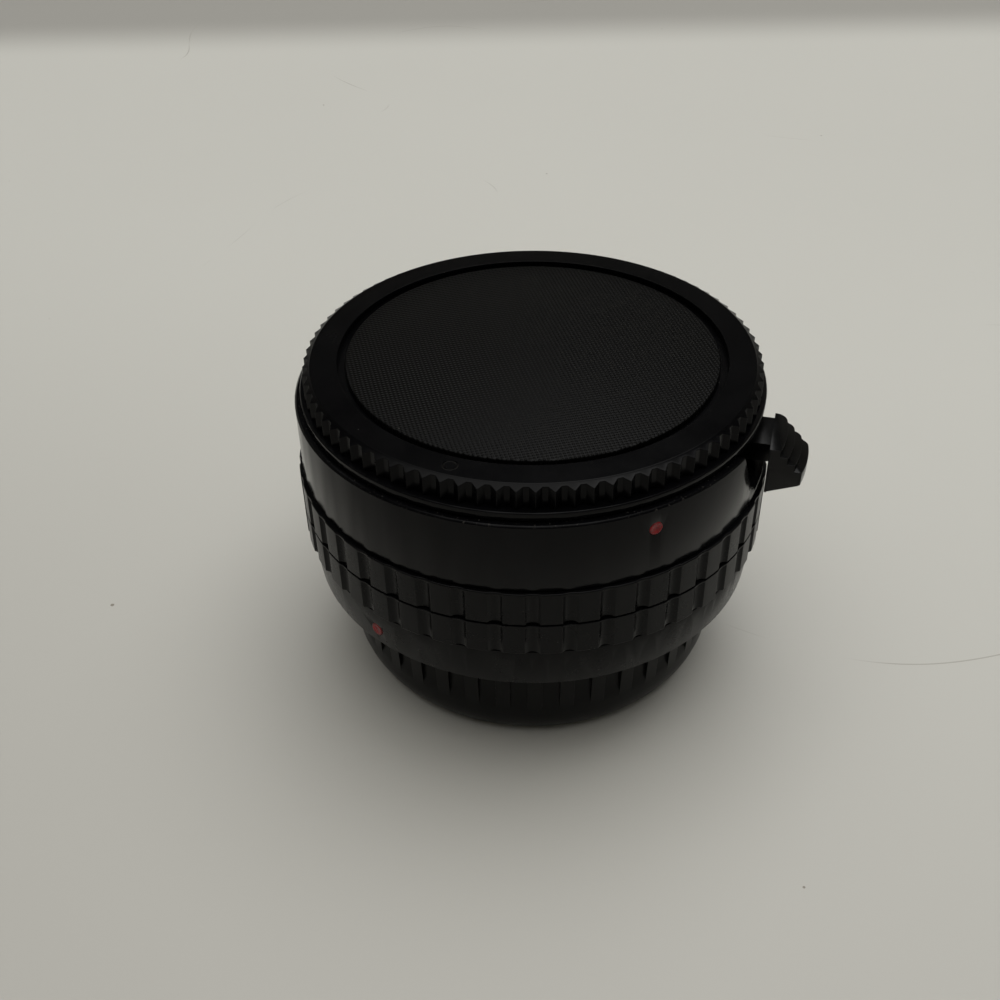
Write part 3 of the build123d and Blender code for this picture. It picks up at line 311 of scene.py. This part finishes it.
def wovenFinish():
    # vinyl embossed with a canvas weave: tiny bumps that scatter the light, a shade paler than the cap
    material, tree, shader, where, bump = surface("embossedVinylWeave", plainDust | {
        "colour": "#040404", "rubbed": "#060606", "roughness": (0.36, 0.44), "smudge": 12.0,
        "grain": 0.12, "grainStrength": 0.2, "grainDepth": 0.02, "ior": 1.5, "specular": 0.09, "dust": 0.4})
    turned = addNode(tree, "ShaderNodeMapping", {"Vector": where, "Rotation": (0, 0, radians(weave["turn"]))})
    scale = pi / 10 / (weave["pitch"] * mm)    # a wave texture has its bands a tenth of pi apart
    threads = []
    for direction in ("X", "Y"):
        band = addNode(tree, "ShaderNodeTexWave", {
            "wave_type": "BANDS", "bands_direction": direction, "wave_profile": "SIN",
            "Vector": turned.outputs["Vector"], "Scale": scale, "Distortion": weave["waver"], "Detail": 1.0,
            "Detail Scale": weave["waverSize"]})
        threads.append(band.outputs["Fac"])
    crossed = addNode(tree, "ShaderNodeMath", {"operation": "MULTIPLY", 0: threads[0], 1: threads[1]})
    cloth = addNode(tree, "ShaderNodeBump", {
        "Height": crossed.outputs[0], "Strength": weave["strength"], "Distance": weave["depth"] * mm,
        "Normal": bump.outputs["Normal"]})
    tree.links.new(cloth.outputs["Normal"], shader.inputs["Normal"])
    return material


lensGlass = {
    "colour": "#e6ecff", "tint": "#b7a3ff", "ior": 1.6, "hazeSize": 6.0, "hazeDetail": 3.0,
    "haze": (0.3, 0.8), "hazeRoughness": 0.05}


def coatedGlass():
    # optical glass with a single-layer coating: clear, with a faint violet-blue cast in reflection
    material = bpy.data.materials.new("coatedOpticalGlass")
    material.use_nodes = True
    tree = material.node_tree
    shader = tree.nodes["Principled BSDF"]
    where = addNode(tree, "ShaderNodeTexCoord", {}).outputs["Object"]
    haze = addNode(tree, "ShaderNodeTexNoise", {
        "Vector": where, "Scale": 1 / (lensGlass["hazeSize"] * mm), "Detail": lensGlass["hazeDetail"]})
    rough = addNode(tree, "ShaderNodeMapRange", {
        "Value": haze.outputs["Fac"], "From Min": lensGlass["haze"][0], "From Max": lensGlass["haze"][1],
        "To Min": 0.0, "To Max": lensGlass["hazeRoughness"]})
    tree.links.new(rough.outputs["Result"], shader.inputs["Roughness"])
    shader.inputs["Base Color"].default_value = srgb(lensGlass["colour"])
    shader.inputs["Transmission Weight"].default_value = 1.0
    shader.inputs["IOR"].default_value = lensGlass["ior"]
    shader.inputs["Specular Tint"].default_value = srgb(lensGlass["tint"])
    return material


weaveFinish = wovenFinish()
glass = coatedGlass()
finishes = {
    "gloss_black": glossEnamel, "satin_black": satinEnamel, "black_anodised": anodised,
    "chromed_brass": chrome, "steel": steel, "red_paint": redPaint, "coated_glass": glass,
    "lever_plastic": leverPlastic, "cap_plastic": capAbs, "woven_inlay": weaveFinish,
    "rear_cap_plastic": rearCapPlastic}
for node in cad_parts.values():
    for place in node.material_slots:
        place.material = finishes[place.material.name.split(".")[0]]
print("finishes made:", len(finishes))


bodyCap = {
    "teeth": 85, "tip": 30.6, "valley": 29.95, "valleyShare": 0.3, "foot": 43.64, "toothTop": 46.2,
    "cone": (29.68, 46.7), "face": (29.56, 46.8), "recess": 26.0, "recessFloor": 45.8,
    "skirtInner": 29.2, "ceiling": 44.6, "tubeOuter": 22.2, "tubeInner": 20.5, "tubeFoot": 39.9,
    "tabs": 3, "tab": 23.9, "tabLow": 40.3, "tabHigh": 41.6, "tabSpan": 48.0, "tabStart": -64.5,
    "tabSunk": 0.1, "bevel": 0.045, "limit": 22}


def makeBodyCap(size):
    bm = bmesh.new()
    half = 180 / size["teeth"]
    angles = [-half, -half * size["valleyShare"], half * size["valleyShare"], half]
    radii = [size["tip"], size["valley"], size["valley"], size["tip"]]
    coneRadius, coneHeight = size["cone"]
    slope = (coneHeight - size["toothTop"]) / (size["tip"] - coneRadius)
    tops = [size["toothTop"] + (size["tip"] - r) * slope for r in radii]
    inside = [
        (0.0, size["ceiling"]), (size["tubeInner"], size["ceiling"]), (size["tubeInner"], size["tubeFoot"]),
        (size["tubeOuter"], size["tubeFoot"]), (size["tubeOuter"], size["ceiling"]),
        (size["skirtInner"], size["ceiling"]), (size["skirtInner"], size["foot"])]
    outside = [
        size["cone"], size["face"], (size["recess"], size["face"][1]), (size["recess"], size["recessFloor"]),
        (0.0, size["recessFloor"])]
    rows = [[place] * len(angles) for place in inside]
    rows += [[(r, size["foot"]) for r in radii], list(zip(radii, tops))]
    rows += [[place] * len(angles) for place in outside]
    liftRows(bm, angles, rows)
    repeat(bm, size["teeth"])
    merge(bm, bm.verts[:])
    for index in range(size["tabs"]):
        sector(bm, size["tubeOuter"] - size["tabSunk"], size["tab"], size["tabStart"] + index * 360 / size["tabs"],
               size["tabSpan"], size["tabLow"], size["tabHigh"])
    return addPiece(bm, "bodyCapShell", "front_cap", capAbs, ["front_cap"],
                    bevel=size["bevel"], limit=size["limit"])


makeBodyCap(bodyCap)

inlayDisc = {"radius": 24.9, "low": 45.8, "high": 46.6, "edge": 0.2, "corner": 0.06, "steps": 180, "limit": 50}


def makeInlay(size):
    bm = bmesh.new()
    radius, high = size["radius"], size["high"]
    turn(bm, [(0, size["low"]), (radius, size["low"]), (radius, high - size["edge"]),
              (radius - size["corner"], high - size["corner"]), (radius - size["edge"], high), (0, high)],
         size["steps"], closed=False)
    return addPiece(bm, "wovenInlay", "front_cap", weaveFinish, ["front_cap_inlay"],
                    limit=size["limit"])


makeInlay(inlayDisc)
print("body cap made")


grip = {
    "pads": 44, "radius": 32.5, "depth": 0.55, "fluteShare": 0.42, "fluteCentre": -75.282, "bore": 29.95,
    "low": 22.1, "middle": 27.15, "high": 32.2, "grooveWidth": 0.3, "grooveDepth": 0.8, "ledge": 0.38,
    "edge": 0.12, "ledgeSetIn": 0.16, "undercut": 31.7, "undercutHigh": 0.24, "fluteSteps": 8,
    "bevel": 0.06, "limit": 38}


def makeGrip(size):
    bm = bmesh.new()
    pitch = 360 / size["pads"]
    halfFlute = pitch * size["fluteShare"] / 2
    halfWidth = size["radius"] * sin(radians(halfFlute))
    fluteRadius = (halfWidth ** 2 + size["depth"] ** 2) / (2 * size["depth"])
    circle = size["radius"] - size["depth"] + fluteRadius
    steps = size["fluteSteps"]
    offsets = [-pitch / 2, -(pitch / 2 + halfFlute) / 2]
    offsets += [-halfFlute + 2 * halfFlute * i / steps for i in range(steps + 1)]
    offsets += [(pitch / 2 + halfFlute) / 2, pitch / 2]

    def outline(offset, limit):
        # the pads' own radius, or the flute's arc where that lies deeper
        if abs(offset) >= halfFlute:
            return limit
        reach = circle * cos(radians(offset)) - sqrt(fluteRadius ** 2 - (circle * sin(radians(offset))) ** 2)
        return min(limit, reach)

    full, eased = size["radius"], size["radius"] - size["edge"]
    fluted = [outline(offset, full) for offset in offsets]
    flutedEased = [outline(offset, eased) for offset in offsets]
    count = len(offsets)
    groove = full - size["grooveDepth"]
    grooveLow, grooveHigh = size["middle"] - size["grooveWidth"] / 2, size["middle"] + size["grooveWidth"] / 2
    lowTop, highTop = size["middle"] - size["ledge"], size["high"] - size["ledge"]

    def level(radii, height):
        return [(r, height) for r in radii]

    padFoot = size["low"] + size["undercutHigh"]
    ledge = [full - size["ledgeSetIn"] * (full - r) / size["depth"] for r in fluted]
    rows = [level([size["bore"]] * count, size["low"]), level([size["undercut"]] * count, size["low"]),
            level([size["undercut"]] * count, padFoot), level(flutedEased, padFoot),
            level(fluted, padFoot + size["edge"]), level(fluted, lowTop), level(ledge, lowTop),
            level(ledge, grooveLow), level([groove] * count, grooveLow),
            level([groove] * count, grooveHigh), level(fluted, grooveHigh), level(fluted, highTop),
            level(ledge, highTop), level(ledge, size["high"] - size["edge"]),
            level([r - size["edge"] for r in ledge], size["high"]), level([size["bore"]] * count, size["high"]),
            level([size["bore"]] * count, size["low"])]
    liftRows(bm, [size["fluteCentre"] + offset for offset in offsets], rows)
    repeat(bm, size["pads"])
    return addPiece(bm, "flutedGrip", "barrel", satinEnamel, ["grip_ring"],
                    bevel=size["bevel"], limit=size["limit"])


makeGrip(grip)
print("grip made")


rearCap = {
    "ribs": 39, "ribShare": 0.45, "depth": 0.9, "ribCentre": -90.85, "ribLow": 7.9, "ribMiddle": 13.0,
    "fade": 0.7, "top": 15.5, "radius": 27.5, "side": (26.9, 6.0), "foot": 24.0, "shoulder": (25.9, 2.0),
    "wall": 1.7, "wallTaper": 0.4, "floor": 1.6, "innerWall": 24.95, "innerHigh": 15.2, "bore": 24.2,
    "gapWidth": 0.2, "gapFloor": 1.0, "lugs": 3, "lug": 22.4, "lugSpan": 64.0, "lugStart": -72.1,
    "lugThickness": 1.5, "lugSunk": 0.2, "arcSteps": 7, "bevel": 0.06, "limit": 38}


def throughArc(a, b, c, steps):
    # points on the circle through a, b and c
    (ax, ay), (bx, by), (cx, cy) = a, b, c
    d = 2 * (ax * (by - cy) + bx * (cy - ay) + cx * (ay - by))
    ux = ((ax**2 + ay**2) * (by - cy) + (bx**2 + by**2) * (cy - ay) + (cx**2 + cy**2) * (ay - by)) / d
    uy = ((ax**2 + ay**2) * (cx - bx) + (bx**2 + by**2) * (ax - cx) + (cx**2 + cy**2) * (bx - ax)) / d
    centre = Vector((ux, uy))
    start, end = Vector(a) - centre, Vector(c) - centre
    sweep = start.angle_signed(end)
    return [tuple(centre + Matrix.Rotation(-sweep * i / steps, 2) @ start) for i in range(steps + 1)]


def makeRearCap(size):
    bm = bmesh.new()
    pitch = 360 / size["ribs"]
    rib, groove = pitch * size["ribShare"] / 2, pitch / 2
    offsets = [-groove, -(groove + rib) / 2, -rib, -rib, 0, rib, rib, (groove + rib) / 2, groove]
    cut = [True] * 3 + [False] * 3 + [True] * 3
    sideRadius, sideHigh = size["side"]

    def outer(height):
        return sideRadius + (size["radius"] - sideRadius) * (height - sideHigh) / (size["top"] - sideHigh)

    def same(radius, height):
        return [(radius, height)] * len(offsets)

    def grooved(height):
        full = outer(height)
        fadeLow = size["ribLow"] - size["fade"]
        share = min(1, max(0, (height - fadeLow) / size["fade"]))
        sunk = min(full, sideRadius - (sideRadius - size["radius"] + size["depth"]) * share)
        return [(sunk if c else full, height) for c in cut]

    rows = [same(0.0, 0.0)]
    rows += [same(*p) for p in throughArc((size["foot"], 0.0), size["shoulder"], size["side"], size["arcSteps"])]
    rows += [grooved(z) for z in (size["ribLow"] - size["fade"], size["ribLow"], size["ribMiddle"], size["top"])]
    # the outer wall stands clear of an inner wall that holds the lugs
    inner, seat = size["radius"] - size["wall"], size["innerWall"]
    gapFloor = size["floor"] + size["gapFloor"]
    rows += [same(*p) for p in [
        (inner, size["top"]), (inner - size["wallTaper"], sideHigh), (seat + size["gapWidth"], gapFloor),
        (seat, gapFloor), (seat, size["innerHigh"]), (size["bore"], size["innerHigh"]),
        (size["bore"], size["floor"]), (0.0, size["floor"])]]
    liftRows(bm, [size["ribCentre"] + offset for offset in offsets], rows)
    repeat(bm, size["ribs"])
    merge(bm, bm.verts[:])
    for index in range(size["lugs"]):
        sector(bm, size["lug"], size["bore"] + size["lugSunk"], size["lugStart"] + index * 360 / size["lugs"],
               size["lugSpan"], size["innerHigh"] - size["lugThickness"], size["innerHigh"])
    return addPiece(bm, "ribbedRearCap", "rear_cap", rearCapPlastic, ["rear_cap"],
                    bevel=size["bevel"], limit=size["limit"])


makeRearCap(rearCap)
print("rear cap made")


barrel = {"bevel": 0.07, "segments": 2, "limit": 30}
lowerBand = {"bevel": 0.1, "segments": 2, "limit": 30}
softened("front_barrel", "frontBarrelShell", "barrel", glossEnamel, barrel)
softened("rear_barrel", "lowerBandShell", "barrel", satinEnamel, lowerBand)
print("barrel and lower band made")

lever = {
    "turn": -15.4, "inner": 32.56, "cut": 32.9, "first": 34.55, "reach": 1.02, "steps": 4, "drop": 1.0,
    "top": 39.01, "foot": 32.15, "near": 4.4, "far": 4.4, "taper": 0.3, "arc": 17.0, "corner": 1.3,
    "chinSetIn": 0.9, "chin": 33.85, "nose": 34.5, "hair": 0.004, "arcSteps": 10, "cornerSteps": 6,
    "bevel": 0.12, "segments": 3, "limit": 30}


def makeLever(size):
    # the stem is the solid's own; the thumb block has four nested steps that end in one flat near face
    bm = solidCopy("release_lever")
    cut = bmesh.ops.bisect_plane(
        bm, geom=bm.verts[:] + bm.edges[:] + bm.faces[:], plane_co=polar(size["cut"], size["turn"], 0),
        plane_no=polar(1 / mm, size["turn"], 0), clear_outer=True)["geom_cut"]
    bmesh.ops.holes_fill(bm, edges=[g for g in cut if isinstance(g, bmesh.types.BMEdge)])
    flatten(bm)
    last = size["steps"] - 1
    outer = size["first"] + last * size["reach"]
    chinRadius = outer - size["chinSetIn"]
    along = Matrix.Rotation(radians(size["turn"]), 3, "Z")

    def underside(x):
        # slopes up from the foot to the chin, then steeper to the nose
        if x <= chinRadius:
            share = (x - size["inner"]) / (chinRadius - size["inner"])
            return size["foot"] + (size["chin"] - size["foot"]) * share
        return size["chin"] + (size["nose"] - size["chin"]) * (x - chinRadius) / (outer - chinRadius)

    for step in range(size["steps"]):
        # each step lies a hair inside the next, so that no two faces coincide
        hair = size["hair"] * (last - step)
        inner, near, far = size["inner"] + hair, hair - size["near"], size["far"] - step * size["taper"]
        centre = size["first"] + step * size["reach"] - size["arc"]
        straight = far - size["corner"]
        crease = [(chinRadius, far), (chinRadius, near)] if step == last else []
        plan = crease[:1] + [(inner, far), (inner, near)] + crease[1:]
        for i in range(size["arcSteps"] + 1):
            y = near + (straight - near) * i / size["arcSteps"]
            plan.append((centre + sqrt(size["arc"] ** 2 - y ** 2), y))
        for i in range(1, size["cornerSteps"] + 1):
            a = radians(90 * i / size["cornerSteps"])
            y = straight + size["corner"] * sin(a)
            plan.append((centre + sqrt(size["arc"] ** 2 - y ** 2) - size["corner"] * (1 - cos(a)), y))
        plan.append(plan[0])
        top = size["top"] - step * size["drop"]
        liftPlaces(bm, [[along @ Vector((x, y, underside(x) + hair)) * mm for x, y in plan],
                        [along @ Vector((x, y, top)) * mm for x, y in plan]])
        merge(bm, bm.verts[:])
        bmesh.ops.holes_fill(bm, edges=[e for e in bm.edges if e.is_boundary])
    # the underside of the last step bends at its chin
    bends = [along @ Vector((x, y, underside(x))) * mm for x, y in crease]
    ends = [v for v in bm.verts if min((v.co - p).length for p in bends) < meshing["merge"] * mm]
    bmesh.ops.connect_verts(bm, verts=ends)
    return addPiece(bm, "steppedThumbLever", "release", leverPlastic, ["release_lever"],
                    bevel=size["bevel"], segments=size["segments"], limit=size["limit"])


makeLever(lever)
print("lever made")

indexDots = {
    "front": {"angle": -64.5, "reach": 32.0, "height": 39.3},
    "rear": {"angle": -132.1, "reach": 31.62, "height": 18.6},
    "radius": 0.9, "depth": 0.5, "dish": 0.08, "rim": 0.05, "rimShares": (0.93, 0.82, 0.62, 0.3),
    "edgeShare": 0.8, "steps": 32, "limit": 60}


def makeDot(name, node, size, at):
    # a plug of paint: it shrank in the middle and climbed a little at its edge
    bm = bmesh.new()
    r, rim = size["radius"], size["rim"]
    lip, crest, slope, hollow = (r * share for share in size["rimShares"])
    turn(bm, [(0, -size["depth"]), (r, -size["depth"]), (r, 0), (lip, rim * size["edgeShare"]), (crest, rim),
              (slope, 0), (hollow, rim - size["dish"]), (0, -size["dish"] / 2)], size["steps"], closed=False)
    turned = polar(1 / mm, at["angle"], 0).to_track_quat("Z", "Y").to_matrix().to_4x4()
    place = Matrix.Translation(polar(at["reach"], at["angle"], at["height"]))
    bmesh.ops.transform(bm, matrix=place @ turned, verts=bm.verts[:])
    return addPiece(bm, name, "barrel", redPaint, [node], limit=size["limit"])


makeDot("frontPaintDot", "front_index_dot", indexDots, indexDots["front"])
makeDot("rearPaintDot", "rear_index_dot", indexDots, indexDots["rear"])
print("index dots made")

floor = {"reach": 1600.0, "curl": 700.0, "wall": 1400.0, "curlSteps": 8, "steps": 96}
board = {
    "tone": "#d2d1ca", "shade": "#cecdc6", "nearPaintedShade": "#bab8b1", "fade": (-120.0, 110.0), "lean": 0.45,
    "cloudScale": 9.0, "cloudDetail": 4.0, "edge": (275.0, 315.0), "edgeTone": "#a6a49e",
    "dirt": "#8b857a", "speckSpacing": 11.0, "speckFrom": 0.5, "speckSize": 0.03,
    "swirlScale": 7.0, "contour": 0.47, "hairWidth": 0.0005, "patchScale": 23.0, "patch": (0.55, 0.65),
    "scratchDepth": 0.5, "roughness": 0.55, "grain": 0.8, "grainStrength": 0.15, "grainDepth": 0.05}


def paintedBoard(look):
    # pale eggshell paint, seen from close by: cloudy, with crumbs of dust and hairline scratches, and painted
    # shade that darkens it towards the near left
    material = bpy.data.materials.new("palePaintedBoard")
    material.use_nodes = True
    tree = material.node_tree
    shader = tree.nodes["Principled BSDF"]
    where = addNode(tree, "ShaderNodeTexCoord", {}).outputs["Object"]
    along = addNode(tree, "ShaderNodeSeparateXYZ", {"Vector": where})
    cloud = addNode(tree, "ShaderNodeTexNoise", {
        "Vector": where, "Scale": look["cloudScale"], "Detail": look["cloudDetail"]})
    mottled = addNode(tree, "ShaderNodeMix", {
        "data_type": "RGBA", 0: cloud.outputs["Fac"], 6: srgb(look["shade"]), 7: srgb(look["tone"])})
    # painted shade: the board's colour turns darker towards the near left, standing in for the light falling off
    # there
    leaned = addNode(tree, "ShaderNodeMath", {
        "operation": "MULTIPLY_ADD", 0: along.outputs["X"], 1: look["lean"], 2: along.outputs["Y"]})
    depth = addNode(tree, "ShaderNodeMapRange", {
        "interpolation_type": "SMOOTHSTEP", "Value": leaned.outputs[0], "From Min": look["fade"][0] * mm,
        "From Max": look["fade"][1] * mm, "To Min": 1.0, "To Max": 0.0})
    tint = addNode(tree, "ShaderNodeMix", {
        "data_type": "RGBA", 0: depth.outputs["Result"], 6: mottled.outputs[2], 7: srgb(look["nearPaintedShade"])})
    # the far edge of the table lies in the room's shade
    far = addNode(tree, "ShaderNodeMapRange", {
        "interpolation_type": "SMOOTHSTEP", "Value": along.outputs["Y"], "From Min": look["edge"][0] * mm,
        "From Max": look["edge"][1] * mm, "To Min": 0.0, "To Max": 1.0})
    shaded = addNode(tree, "ShaderNodeMix", {
        "data_type": "RGBA", 0: far.outputs["Result"], 6: tint.outputs[2], 7: srgb(look["edgeTone"])})
    # some cells hold a crumb; the scratches follow a contour of a wide noise, where a second noise keeps them
    specks = addNode(tree, "ShaderNodeTexVoronoi", {"Vector": where, "Scale": 1 / (look["speckSpacing"] * mm)})
    chosen = addNode(tree, "ShaderNodeSeparateColor", {"Color": specks.outputs["Color"]})
    reach = addNode(tree, "ShaderNodeMapRange", {
        "Value": chosen.outputs["Red"], "From Min": look["speckFrom"], "From Max": 1.0,
        "To Min": 0.0, "To Max": look["speckSize"]})
    near = addNode(tree, "ShaderNodeMath", {
        "operation": "LESS_THAN", 0: specks.outputs["Distance"], 1: reach.outputs["Result"]})
    swirl = addNode(tree, "ShaderNodeTexNoise", {"Vector": where, "Scale": look["swirlScale"], "Detail": 1.0})
    contour = addNode(tree, "ShaderNodeMath", {
        "operation": "SUBTRACT", 0: swirl.outputs["Fac"], 1: look["contour"]})
    side = addNode(tree, "ShaderNodeMath", {"operation": "ABSOLUTE", 0: contour.outputs[0]})
    hair = addNode(tree, "ShaderNodeMath", {"operation": "LESS_THAN", 0: side.outputs[0], 1: look["hairWidth"]})
    patch = addNode(tree, "ShaderNodeTexNoise", {"Vector": where, "Scale": look["patchScale"], "Detail": 2.0})
    kept = addNode(tree, "ShaderNodeMapRange", {
        "Value": patch.outputs["Fac"], "From Min": look["patch"][0], "From Max": look["patch"][1],
        "To Min": 0.0, "To Max": look["scratchDepth"]})
    scratch = addNode(tree, "ShaderNodeMath", {
        "operation": "MULTIPLY", 0: hair.outputs[0], 1: kept.outputs["Result"]})
    marks = addNode(tree, "ShaderNodeMath", {"operation": "MAXIMUM", 0: near.outputs[0], 1: scratch.outputs[0]})
    mixed = addNode(tree, "ShaderNodeMix", {
        "data_type": "RGBA", 0: marks.outputs[0], 6: shaded.outputs[2], 7: srgb(look["dirt"])})
    tree.links.new(mixed.outputs[2], shader.inputs["Base Color"])
    shader.inputs["Roughness"].default_value = look["roughness"]
    grain = addNode(tree, "ShaderNodeTexNoise", {
        "Vector": where, "Scale": 1 / (look["grain"] * mm), "Detail": pattern["grainDetail"]})
    bump = addNode(tree, "ShaderNodeBump", {
        "Height": grain.outputs["Fac"], "Strength": look["grainStrength"], "Distance": look["grainDepth"] * mm})
    tree.links.new(bump.outputs["Normal"], shader.inputs["Normal"])
    return material


def makeFloor(size):
    # a pale sweep that rises into a low wall all round, like a studio cove
    bm = bmesh.new()
    outline = [(0, 0), (size["reach"], 0)]
    for i in range(1, size["curlSteps"] + 1):
        a = radians(90 * i / size["curlSteps"])
        outline.append((size["reach"] + size["curl"] * sin(a), size["curl"] * (1 - cos(a))))
    outline.append((size["reach"] + size["curl"], size["wall"]))
    turn(bm, outline, size["steps"], closed=False)
    merge(bm, bm.verts[:])
    bmesh.ops.recalc_face_normals(bm, faces=bm.faces[:])
    if bm.faces[0].normal.z < 0:
        bmesh.ops.reverse_faces(bm, faces=bm.faces[:])
    mesh = bpy.data.meshes.new("paleFloor")
    bm.to_mesh(mesh)
    bm.free()
    mesh.shade_smooth()
    mesh.materials.append(paintedBoard(board))
    sweep = bpy.data.objects.new("paleFloor", mesh)
    bpy.context.scene.collection.objects.link(sweep)


makeFloor(floor)

# metres and watts
softbox = {"place": (0.3, 0.4, 1.3), "aim": (0.0, 0.0, 0.0), "size": (1.2, 1.0), "power": 6.0}


def makeLight(name, look):
    lamp = bpy.data.lights.new(name, "AREA")
    lamp.shape = "RECTANGLE"
    lamp.size, lamp.size_y = look["size"]
    lamp.energy = look["power"]
    light = bpy.data.objects.new(name, lamp)
    bpy.context.scene.collection.objects.link(light)
    light.location = look["place"]
    light.rotation_euler = (Vector(look["aim"]) - Vector(look["place"])).to_track_quat("-Z", "Y").to_euler()


makeLight("overheadSoftbox", softbox)

studioSky = {"low": 0.05, "top": 1.75, "from": 0.7, "to": 0.95, "colour": "#fffefb"}


def makeSky(look):
    # a dim room under a bright ceiling
    world = bpy.data.worlds.new("studioSky")
    world.use_nodes = True
    tree = world.node_tree
    toward = addNode(tree, "ShaderNodeTexCoord", {}).outputs["Generated"]
    height = addNode(tree, "ShaderNodeSeparateXYZ", {"Vector": toward}).outputs["Z"]
    ceiling = addNode(tree, "ShaderNodeMapRange", {
        "interpolation_type": "SMOOTHSTEP", "Value": height, "From Min": look["from"], "From Max": look["to"],
        "To Min": look["low"], "To Max": look["top"]})
    background = tree.nodes["Background"]
    background.inputs["Color"].default_value = srgb(look["colour"])
    tree.links.new(ceiling.outputs["Result"], background.inputs["Strength"])
    bpy.context.scene.world = world


makeSky(studioSky)
print("floor, light and sky made")

view = {
    "lens": 43.92, "sensor": 36.0, "place": (-4.65, -140.93, 130.44), "pitch": 37.66, "roll": -1.03,
    "clip": (5.0, 20000.0)}
lens = bpy.data.cameras.new("studioCamera")
lens.lens, lens.sensor_width = view["lens"], view["sensor"]
lens.clip_start, lens.clip_end = view["clip"][0] * mm, view["clip"][1] * mm
camera = bpy.data.objects.new("studioCamera", lens)
bpy.context.scene.collection.objects.link(camera)
camera.location = Vector(view["place"]) * mm
tilt = Euler((radians(90 - view["pitch"]), 0, 0)).to_matrix() @ Matrix.Rotation(radians(view["roll"]), 3, "Z")
camera.rotation_euler = tilt.to_euler()
bpy.context.scene.camera = camera
bpy.context.scene.view_settings.view_transform = "Standard"
